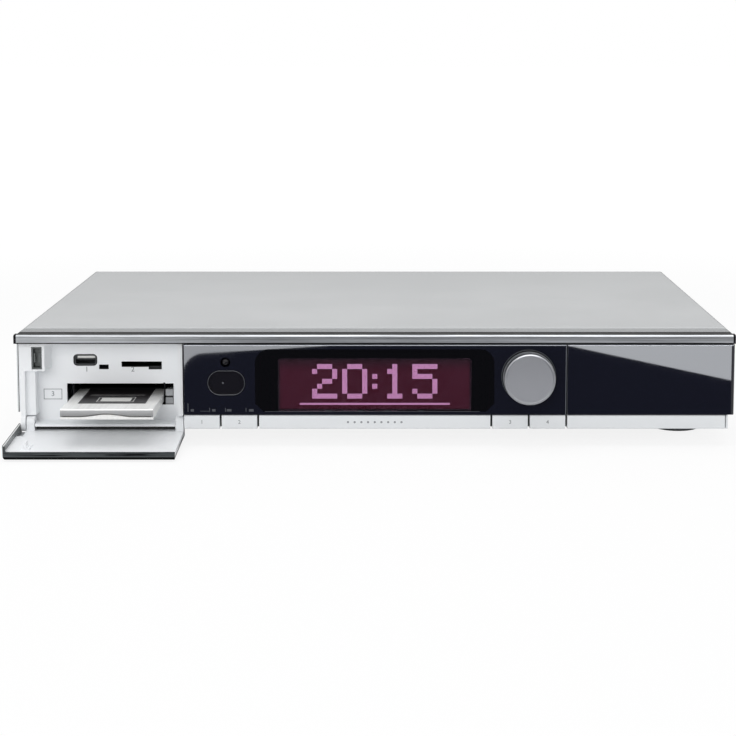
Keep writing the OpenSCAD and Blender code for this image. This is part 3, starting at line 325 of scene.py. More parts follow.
finishes["cage_steel"] = bare_metal("bracket sheet", seen(150, 152, 155), 0.3, 0.45, stretch=along_y,
                                    contrast=0.3)
finishes["socket_metal"] = bare_metal("socket nickel", seen(205, 204, 200), 0.14, 0.24, contrast=0.12)
finishes["card_metal"] = bare_metal("card socket sheet", seen(70, 71, 73), 0.3, 0.42, contrast=0.25)
finishes["sink_aluminium"] = bare_metal("heat sink aluminium", seen(196, 198, 200), 0.35, 0.5, stretch=along_y)
finishes["disk_cast"] = bare_metal("disk casting", seen(168, 170, 173), 0.42, 0.6, stretch=(900.0,) * 3,
                                   contrast=0.25)
print("plain finishes", len(finishes))


# %% [markdown]
# ## The cover's silver paint
# The cover is coated in satin silver: aluminium flakes lie in a clear binder, so the paint mirrors the
# studio softly and still has a body colour. A Principled shader that is mostly metallic, with a speckle of
# flakes, gives both. Where the front band meets the flat top the steel is folded, and the fold's soft
# shoulder catches the light. It is too flat to be worth geometry of its own, so a bump raises it. The
# cover's front edge is painted black as painted shade, so the gap between cover and bar looks deep.

# %% Cover paint
fold_y, shoulder_deep = back(27.0), 3.0 * mm
cover_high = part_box("top_cover")[1]


def cover_paint():
    """Satin metallic paint: flake speckle from a cell noise, a shoulder that rises over the 3 mm before the
    fold, and black as painted shade on the front edge, where it is neither metallic nor shiny."""
    material, tree, shader = start_material("cover silver paint", IOR=1.5)
    surface = use_group(tree, moulded_grain, Scale=1800.0, Mottle=0.03)
    wear = use_group(tree, handling, Polished=0.14, Dull=0.17, Size=9.0)
    flakes = put(tree, "ShaderNodeTexVoronoi", Vector=spot(tree), Scale=5200.0)
    sparkle = put(tree, "ShaderNodeMapRange", Value=flakes.outputs["Distance"], From_Min=0.0, From_Max=0.8,
                  To_Min=1.03, To_Max=0.97)
    tone = maths(tree, "MULTIPLY", sparkle.outputs[0], surface["Tone"])
    place = where(tree)
    across = maths(tree, "ABSOLUTE", place["X"])
    # Painted shade: the cover's front 13.6 mm is black, for the deep gap between cover and bar.
    painted_gap_shade = maths(tree, "MULTIPLY", step(tree, place["Y"], back(13.9), back(13.6)),
                  step(tree, across, cover_high.x - 0.6 * mm, cover_high.x - 0.8 * mm))
    silver = scaled(tree, seen(222, 225, 227), tone)
    grain = relief(tree, surface["Height"], 0.02, 0.1 * mm)
    rise = put(tree, "ShaderNodeMapRange", {"interpolation_type": "SMOOTHSTEP"}, Value=place["Y"],
               From_Min=fold_y - shoulder_deep, From_Max=fold_y).outputs[0]
    feed(tree, shader, Base_Color=blend_colour(tree, painted_gap_shade, silver, seen(14, 14, 16)),
         Metallic=maths(tree, "MULTIPLY_ADD", painted_gap_shade, -0.9, 0.9),
         Specular_IOR_Level=maths(tree, "MULTIPLY_ADD", painted_gap_shade, -0.45, 0.5),
         Roughness=wear["Roughness"], Normal=relief(tree, rise, 1.0, 0.5 * mm, Normal=grain))
    return material


finishes["cover_silver"] = cover_paint()
print("cover folds at", round(fold_y, 4))


# %% [markdown]
# ## The brushed bar, the dial and the feet
# The bar under the cover is an aluminium extrusion brushed lengthwise, so its hairlines run along X and
# are much stronger than on plain sheet. Its face and its front edge are bare metal. The top behind the edge
# and a strip along its lower edge are black as painted shade, for the deep groove under the cover and the
# gap above the panels, and the last 1.5 mm at each end is dark too. The dial's cap and the feet were
# turned on a lathe, which leaves rings round their axis; on the cap, bands by depth are painted shade and
# painted highlight. The rings come from the distance to that axis, worked out from the CAD's boxes.

# %% Trim bar, dial and feet
def trim_metal():
    """Streaky bare aluminium; black as painted shade behind the top's front edge and along the lower edge, and
    dark at the two ends.
    """
    material, tree, shader = start_material("brushed trim bar")
    hairs = use_group(tree, brushed, Stretch=(16.0, 1500.0, 1500.0), Contrast=2.0)
    wear = use_group(tree, handling, Polished=0.3, Dull=0.38, Size=40.0)
    place = where(tree)
    # Painted shade: black on the top behind the front edge and along the lower edge; the two ends are dark too.
    behind = maths(tree, "MULTIPLY", step(tree, place["Y"], back(0.85), back(1.0)),
                   step(tree, place["Z"], trim_high.z - 0.3 * mm, trim_high.z - 0.2 * mm))
    ends = step(tree, maths(tree, "ABSOLUTE", place["X"]), trim_high.x - 1.6 * mm, trim_high.x - 1.4 * mm)
    under = step(tree, place["Z"], trim_low.z + 0.8 * mm, trim_low.z + 0.65 * mm)
    painted_shade_and_dark_ends = maths(tree, "MAXIMUM", maths(tree, "MAXIMUM", behind, ends), under)
    bare = scaled(tree, seen(190, 193, 196), hairs["Streak"])
    black = scaled(tree, seen(24, 24, 27), maths(tree, "POWER", hairs["Streak"], 2.0))
    feed(tree, shader, Base_Color=blend_colour(tree, painted_shade_and_dark_ends, bare, black),
         Metallic=maths(tree, "SUBTRACT", 1.0, painted_shade_and_dark_ends),
         Specular_IOR_Level=maths(tree, "MULTIPLY_ADD", painted_shade_and_dark_ends, -0.45, 0.5),
         Roughness=wear["Roughness"], Normal=relief(tree, hairs["Height"], 0.12))
    return material


def turned_metal(name, colour, centre, across, pitch, polished, dull, depth, painted_bands=()):
    """Lathe-turned metal: tone and bump follow noise of the distance from the axis. Each painted band is the mm
    behind the panels' face where it starts and ends, and the factor of its tone: below 1 it is painted shade,
    above 1 painted highlight."""
    material, tree, shader = start_material(name, Metallic=1.0)
    cut = use_group(tree, turned, Centre=centre, Across=across, Pitch=pitch)
    wear = use_group(tree, handling, Polished=polished, Dull=dull, Size=60.0)
    shade = put(tree, "ShaderNodeMapRange", Value=cut["Ring"], From_Min=0.2, From_Max=0.8,
                To_Min=0.95, To_Max=1.05).outputs[0]
    for start, end, tone in painted_bands:
        mask = band(tree, where(tree)["Y"], back(start), back(end), 0.1 * mm)
        shade = maths(tree, "MULTIPLY", shade, maths(tree, "MULTIPLY_ADD", mask, tone - 1, 1.0))
    feed(tree, shader, Base_Color=scaled(tree, colour, shade), Roughness=wear["Roughness"],
         Normal=relief(tree, cut["Ring"], depth, 0.1 * mm))
    return material


knob_low, knob_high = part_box("dial_knob")
knob_centre = (knob_low + knob_high) / 2


def ring_plastic():
    """Black plastic whose outer edge, 15.9 to 16.4 mm from the dial's axis, is grey as a painted highlight."""
    material, tree, shader = start_material("dial ring plastic")
    radius = use_group(tree, turned, Centre=tuple(knob_centre), Across=(1, 0, 1))["Radius"]
    # Painted highlight: the ring's outer edge shows as a grey line.
    rim_highlight = band(tree, radius, 15.9 * mm, 16.4 * mm, 0.05 * mm)
    skin(tree, shader, blend_colour(tree, rim_highlight, seen(12, 12, 14), seen(78, 82, 88)), 0.3, 0.4)
    return material


finishes["ring_plastic"] = ring_plastic()
finishes["trim_aluminium"] = trim_metal()
# Bands on the dial cap's side: a darker line and a near-black band of painted shade, then a band of painted
# highlight.
knob_painted_bands = [(-9.95, -9.5, 0.8), (-9.1, -7.0, 0.12), (-7.0, -3.0, 1.3)]
finishes["dial_satin"] = turned_metal("turned dial cap", seen(184, 186, 190), tuple(knob_centre), (1, 0, 1),
                                      0.25 * mm, 0.34, 0.4, 0.04, knob_painted_bands)
finishes["foot_metal"] = turned_metal("turned feet", seen(136, 138, 140), (0, 0, 0), (0, 0, 1), 0.6 * mm,
                                      0.25, 0.35, 0.1)
print("dial axis at", [round(v, 4) for v in knob_centre])


# %% [markdown]
# ## White plastic and silver keys
# The bay and the inside of the flap are white ABS with a soft shine. The keys and strips are the same
# plastic under a thin silver lacquer, so they are pale and their shine is only a little stronger. The dark
# plastic frame shows through the clear window beside the display, where its two wings are printed maroon.

# %% Bay, keys and front frame
bay_white = seen(247, 249, 251)
fine_grain = dict(grain=2400.0, depth=0.01)
finishes["tray_plastic"] = moulded("bay white plastic", bay_white, 0.34, 0.42, mottle=0.02, **fine_grain)
finishes["strip_silver"] = moulded("key silver lacquer", seen(234, 237, 239), 0.4, 0.46, mottle=0.01,
                                   **fine_grain)


def frame_plastic():
    """Black plastic, printed maroon behind the window from 59.5 to 69 mm to either side of the middle."""
    material, tree, shader = start_material("front frame plastic")
    place = where(tree)
    across = maths(tree, "ABSOLUTE", place["X"])
    wings = maths(tree, "MULTIPLY", band(tree, across, 59.5 * mm, 69 * mm, 0.4 * mm),
                  band(tree, place["Z"], 22.5 * mm, 55 * mm, 0.4 * mm))
    rib = put(tree, "ShaderNodeTexWave", Vector=spot(tree), Scale=90.0)
    maroon = blend_colour(tree, rib.outputs["Fac"], seen(70, 18, 46), seen(112, 30, 72))
    skin(tree, shader, blend_colour(tree, wings, seen(14, 14, 16), maroon), 0.4, 0.55, depth=0.05)
    return material


finishes["frame_plastic"] = frame_plastic()
print("finishes so far", len(finishes))


# %% [markdown]
# ## Black acrylic
# The panels are cast acrylic, printed black on the back: all their colour lies under a clear polished face,
# so the shader is nearly black with very low roughness. Fine wiping marks only touch the roughness of that
# face. A pale line along the upper edge and a grey hairline at the seam between two panels are painted
# highlights, where the edges catch the light. The flap is the same acrylic folded into a shallow lid, and
# its free edge shows the sheet's thickness as grey and black bands.

# %% Acrylic panels
acrylic_black = seen(14, 16, 27)
clear_sheet = dict(depth=0.0, mottle=0.0, patch=14.0)


def panel_acrylic():
    """Glossy black; a painted highlight that is pale within 0.5 mm of the upper edge and grey within 0.35 mm of
    the seam right of the dial.
    """
    material, tree, shader = start_material("black acrylic", IOR=1.49)
    place = where(tree)
    # Painted highlights: pale on the upper edge and grey on the seam, where the edges catch the light.
    face = step(tree, place["Y"], back(0.5), back(0.45))
    top = step(tree, place["Z"], panel_high.z - 0.55 * mm, panel_high.z - 0.45 * mm)
    upper = maths(tree, "MULTIPLY", face, top)
    beside = maths(tree, "MULTIPLY", step(tree, place["X"], panel_high.x - 0.4 * mm, panel_high.x - 0.3 * mm),
                   step(tree, place["X"], right_low.x + 0.1 * mm, right_low.x))
    seam_highlight = maths(tree, "MULTIPLY", face, beside)
    colour = blend_colour(tree, seam_highlight, acrylic_black, seen(132, 136, 142))
    colour = blend_colour(tree, upper, colour, seen(176, 180, 188))
    skin(tree, shader, colour, 0.015, 0.035, **clear_sheet)
    return material


def flap_acrylic():
    """Black, with bands by height on the free edge: grey, then dark with grey smears, then black below. The
    left side edge has a white line, X -214.5 to -213.9 mm, between grey inside it and black outside it."""
    material, tree, shader = start_material("flap acrylic", IOR=1.49)
    place = where(tree)
    smear_place = put(tree, "ShaderNodeCombineXYZ", X=maths(tree, "MULTIPLY", place["X"], 32.0),
                      Z=maths(tree, "MULTIPLY", place["Z"], 600.0)).outputs[0]
    smears = put(tree, "ShaderNodeTexNoise", Vector=smear_place, Scale=1.0, Detail=2.0).outputs[0]
    smeared = blend_colour(tree, step(tree, smears, 0.44, 0.56), seen(14, 16, 20), seen(72, 76, 78))
    free = step(tree, place["Y"], back(-37.4), back(-37.8))
    grey = step(tree, place["Z"], 5.0 * mm, 5.2 * mm)
    middle = step(tree, place["Z"], 3.4 * mm, 3.6 * mm)
    line = band(tree, place["Z"], 2.9 * mm, 3.4 * mm, 0.1 * mm)
    edge = blend_colour(tree, middle, seen(4, 5, 6), smeared)
    edge = blend_colour(tree, line, edge, seen(88, 92, 94))
    edge = blend_colour(tree, grey, edge, seen(66, 70, 72))
    side = step(tree, place["X"], -213.3 * mm, -213.5 * mm)
    light_line = band(tree, place["X"], -214.5 * mm, -213.9 * mm, 0.08 * mm)
    rim = blend_colour(tree, light_line, seen(120, 124, 125), seen(236, 238, 238))
    rim = blend_colour(tree, step(tree, place["X"], -214.5 * mm, -214.6 * mm), rim, seen(4, 5, 6))
    upward = step(tree, place["Z"], 7.2 * mm, 7.5 * mm)
    side_edge = maths(tree, "MULTIPLY", side, upward)
    colour = blend_colour(tree, free, blend_colour(tree, side_edge, acrylic_black, rim), edge)
    skin(tree, shader, colour, 0.03, 0.06, **clear_sheet)
    sawn = maths(tree, "MAXIMUM", free, side_edge)
    feed(tree, shader, Specular_IOR_Level=maths(tree, "MULTIPLY_ADD", sawn, -0.42, 0.5))
    return material


finishes["panel_acrylic"] = panel_acrylic()
finishes["eye_plastic"] = moulded("receiver eye", seen(16, 15, 20), 0.06, 0.1, depth=0.0, mottle=0.0, IOR=1.55)
print("acrylic ready")


# %% [markdown]
# ## The card module
# The access module is a PC card in a thin steel shell, with a grip at its front. The sheet is drawn
# lengthwise and pale. Its front is pressed with a wave: below it the lip is white, and above it the face is
# painted grey as painted shade, darker towards the bottom. The mask repeats the formula of the CAD's own
# curve, so the colours meet on its edge.

# %% Module shell
module_low, module_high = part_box("access_module")
wave_middle, wave_width = (module_low.x + module_high.x) / 2, 32 * mm


def module_shell():
    """Pale sheet; on the front, z below 24.1 mm + 1.5 mm (1 + cos(2 pi x / 32 mm)) / 2 is the white lip,
    where x is measured from the module's middle and held within 16 mm of it. Above the lip the front is
    grey as painted shade, darker towards the bottom."""
    material, tree, shader = start_material("module sheet", Metallic=0.25)
    hairs = use_group(tree, brushed, Stretch=along_y, Contrast=0.24)
    place = where(tree)
    from_middle = maths(tree, "SUBTRACT", place["X"], wave_middle)
    near = maths(tree, "MINIMUM", maths(tree, "ABSOLUTE", from_middle), wave_width / 2)
    swing = maths(tree, "COSINE", maths(tree, "MULTIPLY", near, 2 * math.pi / wave_width))
    wave = maths(tree, "MULTIPLY_ADD", swing, 0.75 * mm, 24.85 * mm)
    above = step(tree, maths(tree, "SUBTRACT", place["Z"], wave), 0.0, 0.15 * mm)
    front = step(tree, place["Y"], module_low.y + 0.9 * mm, module_low.y + 0.7 * mm)
    upright = step(tree, place["Z"], module_high.z - 0.45 * mm, module_high.z - 0.6 * mm)
    height = step(tree, place["Z"], 25.5 * mm, module_high.z)
    # Painted shade: above the wave the front is grey, darker towards the bottom.
    shade = blend_colour(tree, height, seen(152, 153, 154), seen(196, 197, 198))
    grey = maths(tree, "MULTIPLY", maths(tree, "MULTIPLY", front, upright), above)
    sheet = scaled(tree, seen(249, 249, 247), hairs["Streak"])
    wear = use_group(tree, handling, Polished=0.3, Dull=0.42, Size=40.0)
    feed(tree, shader, Base_Color=blend_colour(tree, grey, sheet, shade), Roughness=wear["Roughness"],
         Normal=relief(tree, hairs["Height"], 0.04))
    return material


finishes["module_metal"] = module_shell()
finishes["label_dark"] = moulded("module label film", seen(40, 38, 40), 0.3, 0.42)
# Painted shade: the front USB shell and the module cage are darker than their metal, for the shade inside the
# socket and the slot.
usb_shell_shade = bare_metal("usb shell", seen(96, 98, 100), 0.25, 0.35, contrast=0.15)
cage_shade = bare_metal("cage sheet in painted shade", seen(40, 41, 43), 0.35, 0.45, contrast=0.3)


def bay_moulding():
    """White plastic; the web between the module slot and the eject slot and all behind the wall is black as
    painted shade.
    """
    material, tree, shader = start_material("bay moulding")
    place = where(tree)
    # Painted shade: black on the web between the slots and inside the slot behind the wall.
    web_shade = maths(tree, "MULTIPLY", band(tree, place["X"], -128.5 * mm, -127.2 * mm, 0.05 * mm),
                band(tree, place["Z"], 21.9 * mm, 35.5 * mm, 0.1 * mm))
    inside = maths(tree, "MULTIPLY", step(tree, place["Y"], back(18.2), back(18.6)),
                   band(tree, place["X"], -186 * mm, -121 * mm, 0.1 * mm))
    black = maths(tree, "MAXIMUM", web_shade, inside)
    colour = blend_colour(tree, black, bay_white, seen(16, 16, 18))
    skin(tree, shader, colour, 0.34, 0.42, mottle=0.02, **fine_grain)
    return material


print("module ready")


# %% [markdown]
# ## Circuit boards
# A board is glass laminate under green solder mask, with copper tracks that show as slightly paler ridges.
# Tracks run at right angles, so a coarse brick pattern gives them at low cost.

# %% Board green
def board_green():
    """Solder mask: a brick pattern's mortar lines stand for tracks, paler and raised."""
    material, tree, shader = start_material("green solder mask", IOR=1.52)
    tracks = put(tree, "ShaderNodeTexBrick", {"offset": 0.37}, Vector=spot(tree), Scale=90.0, Mortar_Size=0.02,
                 Color1=seen(18, 92, 52), Color2=seen(22, 100, 58), Mortar=seen(40, 132, 80))
    wear = use_group(tree, handling, Polished=0.22, Dull=0.34, Size=50.0)
    feed(tree, shader, Base_Color=tracks.outputs["Color"], Roughness=wear["Roughness"],
         Normal=relief(tree, tracks.outputs["Fac"], 0.2, 0.1 * mm))
    return material


finishes["board_green"] = board_green()
print("board ready")


# %% [markdown]
# ## The lit display
# Behind the window sits a dot display. Its unlit ground glows dark red, weaker towards its upper edge, and
# a fine grid parts the dots. The glow is an emission on the display's own front, masked to the lit
# rectangle by Object coordinates, so it lies as deep behind the window as it does on the real object.

# %% Display glass
lit_low = Vector((-56.8 * mm, 0, strip_high.z + 3.2 * mm))
lit_high = Vector((56.8 * mm, 0, strip_high.z + 33.3 * mm))
dot_pitch = 0.6 * mm
ground_glow = (0.076, 0.0012, 0.016)


def display_glass():
    """Dark glass whose front glows inside the lit rectangle, through a grid of dot cells."""
    material, tree, shader = start_material("display glass", IOR=1.5, Emission_Strength=1.0,
                                            Specular_IOR_Level=0.05, Base_Color=seen(6, 3, 4))
    place = where(tree)
    inside = maths(tree, "MULTIPLY", band(tree, place["X"], lit_low.x, lit_high.x, 0.2 * mm),
                   band(tree, place["Z"], lit_low.z, lit_high.z, 0.2 * mm))
    fade = put(tree, "ShaderNodeMapRange", Value=place["Z"], From_Min=lit_high.z, From_Max=lit_high.z - 7 * mm,
               To_Min=0.12, To_Max=1.0).outputs[0]
    lines = [maths(tree, "PINGPONG", place[axis], dot_pitch / 2) for axis in "XZ"]
    gaps = [put(tree, "ShaderNodeMapRange", Value=line, From_Min=0.0, From_Max=0.15 * dot_pitch,
                To_Min=0.72, To_Max=1.0).outputs[0] for line in lines]
    level = maths(tree, "MULTIPLY", maths(tree, "MULTIPLY", inside, fade), maths(tree, "MULTIPLY", *gaps))
    wear = use_group(tree, handling, Polished=0.12, Dull=0.2, Size=40.0)
    feed(tree, shader, Emission_Color=scaled(tree, ground_glow, level), Roughness=wear["Roughness"])
    return material


finishes["display_glass"] = display_glass()
print("finishes", len(finishes))


# %% [markdown]
# ## Give every CAD node its finish
# The record names a material slot for each node. One loop hands out the finishes, so no node can be
# forgotten, and a missing finish stops the script with a plain KeyError. Four nodes differ from their slot:
# the flap has its banded edge, the USB shell and the module cage are darkened as painted shade, and the bay
# moulding is black as painted shade round its module slot and behind its wall.

# %% Assign finishes
slot_of = {part["node"]: part["material_slot"] for part in frame["record"]["subparts"]}
own_finish = {"flap_face": flap_acrylic(), "usb_socket": usb_shell_shade, "compartment_tray": bay_moulding(),
              "module_cage": cage_shade}
for name, node in nodes.items():
    node.data.materials.clear()
    node.data.materials.append(own_finish.get(name, finishes[slot_of[name]]))
print("dressed", len(slot_of), "nodes with", len(set(slot_of.values())), "finishes")


# %% [markdown]
# ## Making new pieces
# A new piece is a mesh whose points are worked out as whole arrays. `mesh_of` makes a mesh, `slab` gives an
# outline a thickness, `boxes` makes many little blocks, and `swept` closes a grid of rings into a solid.
# `keep` names the object, gives it its finish, by its slot unless another is given, and parents it to an
# empty for the body that carries it. Ring faces run the same way round, and one recalculation turns all normals
# outward.

# %% Mesh helpers
def keep(name, mesh, body, slot, material=None, smooth=False):
    """Makes an object of a mesh, dresses it and lets it ride on a CAD body."""
    piece = bpy.data.objects.new(name, mesh)
    bpy.context.scene.collection.objects.link(piece)
    mesh.materials.clear()
    mesh.materials.append(material or finishes[slot])
    mesh.polygons.foreach_set("use_smooth", np.full(len(mesh.polygons), smooth))
    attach(piece, body)
    return piece


def mesh_of(name, points, faces):
    """A mesh from an array of points and a list of faces."""
    mesh = bpy.data.meshes.new(name)
    mesh.from_pydata(np.asarray(points, float).reshape(-1, 3).tolist(), [], [tuple(f) for f in faces])
    mesh.validate()
    mesh.update()
    return mesh


def outward(mesh, weld=0.0):
    """Turns the normals of closed shells outward; weld joins points closer than it first."""
    shell = bmesh.new()
    shell.from_mesh(mesh)
    if weld:
        bmesh.ops.remove_doubles(shell, verts=shell.verts, dist=weld)
    bmesh.ops.recalc_face_normals(shell, faces=shell.faces)
    shell.to_mesh(mesh)
    shell.free()
    return mesh


def slab(name, outline, y0, y1):
    """A closed plate: an outline in X and Z as two rings at depths y0 and y1, two caps and a wall."""
    flat = np.asarray(outline, float)
    rings = [np.column_stack([flat[:, 0], np.full(len(flat), y), flat[:, 1]]) for y in (y0, y1)]
    ring = np.arange(len(flat))
    after = (ring + 1) % len(flat)
    walls = np.stack([ring, ring + len(flat), after + len(flat), after], -1)
    return mesh_of(name, np.concatenate(rings), [ring, ring[::-1] + len(flat), *walls])


def swept(name, rings):
    """A closed shell of rings, an array (ring, point, 3): quads from ring to ring, and from last to first."""
    rings = np.asarray(rings, float)
    rows, columns = rings.shape[:2]
    row, column = np.meshgrid(np.arange(rows), np.arange(columns), indexing="ij")
    down, side = (row + 1) % rows, (column + 1) % columns
    here, below = row * columns, down * columns
    quads = np.stack([here + column, here + side, below + side, below + column], -1)
    return outward(mesh_of(name, rings, quads.reshape(-1, 4)))


def boxes(name, lows, highs):
    """Many blocks in one mesh: corner k of a block takes its high value on the axes whose bit is set in k."""
    lows, highs = (np.asarray(v, float).reshape(-1, 1, 3) for v in (lows, highs))
    bits = (np.arange(8)[:, None] >> np.arange(3)) & 1
    points = lows + (highs - lows) * bits[None]
    sides = np.array([(0, 2, 3, 1), (4, 5, 7, 6), (0, 1, 5, 4), (2, 6, 7, 3), (0, 4, 6, 2), (1, 3, 7, 5)])
    faces = sides[None] + 8 * np.arange(len(points))[:, None, None]
    return mesh_of(name, points, faces.reshape(-1, 4))


def joined(name, meshes):
    """One mesh of several, their points and faces one after the other."""
    points, faces, start = [], [], 0
    for mesh in meshes:
        flat = np.empty(len(mesh.vertices) * 3)
        mesh.vertices.foreach_get("co", flat)
        points.append(flat.reshape(-1, 3))
        faces += [[start + i for i in polygon.vertices] for polygon in mesh.polygons]
        start += len(mesh.vertices)
    return mesh_of(name, np.concatenate(points), faces)


def circle(x, z, radius, count=24, start=0.0, sweep=2 * math.pi):
    """Points on a circle or arc, anticlockwise: (x + r cos t, z + r sin t)."""
    full = abs(sweep - 2 * math.pi) < 1e-9
    t = start + sweep * np.arange(count + (not full)) / count
    return np.column_stack([x + radius * np.cos(t), z + radius * np.sin(t)])


print("mesh helpers ready")


# %% [markdown]
# ## The window in the middle panel
# On the real panel the black print on its back leaves a window clear, tinted like sunglasses, and the
# display glows through it. Black and clear are one sheet of acrylic. The CAD's panel is one solid, so a
# copy of it is cut along the window's outline with a Boolean, and the cut-out becomes a piece of tinted
# glass. Together they fill the space of the CAD panel, but for a hair between them, so the window lies at
# its real depth before the display.

# %% Panel and window
window_half = 71.4 * mm
window_low, window_high = strip_high.z + 2.4 * mm, panel_high.z - 2.6 * mm
window_cut, window_r = 4.8 * mm, 8.5 * mm


def window_outline(gap=0.0):
    """The window: round upper corners, cut lower corners, drawn anticlockwise and pulled in by a gap."""
    half, low, high = window_half - gap, window_low + gap, window_high - gap
    right = circle(half - window_r, high - window_r, window_r, 10, 0.0, math.pi / 2)
    left = circle(window_r - half, high - window_r, window_r, 10, math.pi / 2, math.pi / 2)
    foot = [(-half, low + window_cut), (window_cut - half, low),
            (half - window_cut, low), (half, low + window_cut)]
    return np.concatenate([right, left, foot])


def ready_mesh(piece):
    """The mesh of an object with its modifiers applied."""
    bpy.context.view_layer.update()
    return bpy.data.meshes.new_from_object(piece.evaluated_get(bpy.context.evaluated_depsgraph_get()))


weld_distance = 1e-6
panel_mesh = outward(nodes["display_panel"].data.copy(), weld_distance)
front_panel = keep("front_panel", panel_mesh, "chassis", "panel_acrylic")
cutter_mesh = slab("window_cutter", window_outline(), back(-5), back(7.5))
cutter = bpy.data.objects.new("window_cutter", cutter_mesh)
bpy.context.scene.collection.objects.link(cutter)
cut = front_panel.modifiers.new("window", "BOOLEAN")
cut.operation, cut.solver, cut.object = "DIFFERENCE", "EXACT", cutter
cut_mesh = ready_mesh(front_panel)
front_panel.modifiers.clear()
front_panel.data = cut_mesh
bpy.data.objects.remove(cutter)
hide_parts("display_panel")

window_tint = (0.46, 0.27, 0.4, 1.0)
window_glass, glass_tree, glass_shader = start_material(
    "tinted window", Transmission_Weight=1.0, IOR=1.49, Base_Color=window_tint)
glass_wear = use_group(glass_tree, handling, Polished=0.0, Dull=0.02, Size=14.0)
feed(glass_tree, glass_shader, Roughness=glass_wear["Roughness"])
window_mesh = slab("front_window", window_outline(0.01 * mm), panel_low.y, panel_high.y)
front_window = keep("front_window", window_mesh, "chassis", "panel_acrylic", window_glass)
print("panel", len(cut_mesh.polygons), "faces after the cut")


# %% [markdown]
# ## Dots on the display
# The display shows the time of day as any receiver does on standby. Each figure is a five by seven
# pattern, every cell of it five by five fine dots, and a dotted bar runs below. The dots are real little
# octagons a hair in front of the display's glass, made as one mesh: cell centres as an array, plus the
# same eight corners for each.

# %% Figures in dots
figures = {
    "0": "01110 10001 10001 10001 10001 10001 01110",
    "1": "00100 01100 00100 00100 00100 00100 01110",
    "2": "01110 10001 00001 00110 01000 10000 11111",
    "5": "11111 10000 11110 00001 00001 10001 01110",
    ":": "0 0 1 0 1 0 0"}
cell = 5 * dot_pitch


def figure_cells(text):
    """Lower left corners of the lit cells of a line of figures, centred on zero, seven cells high."""
    cells, left = [], 0
    for sign in text:
        rows = figures[sign].split()
        cells += [(left + c, 6 - r) for r, row in enumerate(rows) for c, lit in enumerate(row) if lit == "1"]
        left += len(rows[0]) + 1
    return (np.array(cells, float) - ((left - 1) / 2, 0)) * cell


def dot_mesh(name, centres, radius, y):
    """Flat octagons facing -Y: point k of a dot is its centre + r (cos, sin)(k * 45 + 22.5 degrees)."""
    turn = np.arange(8) * math.pi / 4 + math.pi / 8
    ring = np.stack([np.cos(turn), np.zeros(8), np.sin(turn)], -1) * radius
    flat = np.column_stack([centres[:, 0], np.full(len(centres), y), centres[:, 1]])
    points = (flat[:, None, :] + ring[None]).reshape(-1, 3)
    return mesh_of(name, points, np.arange(len(points)).reshape(-1, 8))


fine_dots = (np.stack(np.meshgrid(np.arange(5), np.arange(5)), -1).reshape(-1, 2) + 0.5) * dot_pitch
clock = figure_cells("20:15") + (0, lit_low.z + 6.2 * mm)
bar = np.column_stack([np.arange(-15, 15) * cell, np.full(30, lit_low.z + 2.4 * mm)])
clock_dots = (clock[:, None] + fine_dots[None]).reshape(-1, 2)
bar_dots = (bar[:, None] + fine_dots[None, fine_dots[:, 1] < 2 * dot_pitch]).reshape(-1, 2)
display_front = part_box("display_module")[0].y
lit_dot, dot_tree, dot_shader = start_material("lit dot", Emission_Strength=1.0, Roughness=0.4)
weak_glow, strong_glow = (1.25, 1.0, 1.3, 1), (1.65, 1.4, 1.75, 1)
dot_noise = put(dot_tree, "ShaderNodeTexNoise", Vector=spot(dot_tree), Scale=900.0).outputs[0]
feed(dot_tree, dot_shader, Emission_Color=blend_colour(dot_tree, dot_noise, weak_glow, strong_glow))
all_dots = np.concatenate([clock_dots, bar_dots])
dots = dot_mesh("display_dots", all_dots, 0.46 * dot_pitch, display_front - 0.03 * mm)
keep("display_dots", dots, "chassis", "display_glass", lit_dot)
print("dots", len(all_dots))


# %% [markdown]
# ## Print
# Pad printing leaves a film a few hundredths of a millimetre thick. Plain figures stand where the real
# keys and slots carry their marks. They start as text curves, because the font gives clean outlines, and
# are made meshes before they are placed, so that their objects stay at the origin. Bars and ticks are
# blocks as thin as the film, made many at a time, because a block needs no font; on the panel's lower edge
# such blocks are painted reflections, not print.

# %% Printed figures and marks
grey_print = moulded("grey print", seen(150, 153, 156), 0.4, 0.5, depth=0.0)
# Painted reflection: a dim grey for the glints on the acrylic, not an ink.
painted_glint = moulded("painted glint on acrylic", seen(74, 77, 82), 0.4, 0.5, depth=0.0)
white_print = moulded("white print", seen(232, 232, 228), 0.35, 0.45, depth=0.0)
film = 0.03 * mm


def printed(name, text, height, centre, y, body, slot, ink, bold=0.0, facing=1):
    """Plain figures facing -Y (or +Y with facing -1): text point (u, v) goes to (x + facing u, y, z + v)."""
    curve = bpy.data.curves.new(name, "FONT")
    curve.body, curve.align_x, curve.align_y, curve.size = text, "CENTER", "CENTER", height * 1.4
    curve.extrude, curve.offset = film / 2, bold
    source = bpy.data.objects.new(name, curve)
    bpy.context.scene.collection.objects.link(source)
    mesh = ready_mesh(source)
    bpy.data.objects.remove(source)
    flat = np.empty(len(mesh.vertices) * 3)
    mesh.vertices.foreach_get("co", flat)
    flat = flat.reshape(-1, 3)
    placed = np.column_stack([centre[0] + facing * flat[:, 0], y - facing * (film / 2 + flat[:, 2]),
                              centre[1] + flat[:, 1]])
    mesh.vertices.foreach_set("co", placed.ravel())
    mesh.update()
    return keep(name, mesh, body, slot, ink)


def film_bars(name, bars, y, body, slot, ink):
    """Blocks of film facing -Y; each bar is x0, z0, x1, z1 in millimetres."""
    bars = np.asarray(bars, float) * mm
    low = np.column_stack([bars[:, 0], np.full(len(bars), y - film), bars[:, 1]])
    high = np.column_stack([bars[:, 2], np.full(len(bars), y), bars[:, 3]])
    return keep(name, boxes(name, low, high), body, slot, ink)


print("print helpers ready")


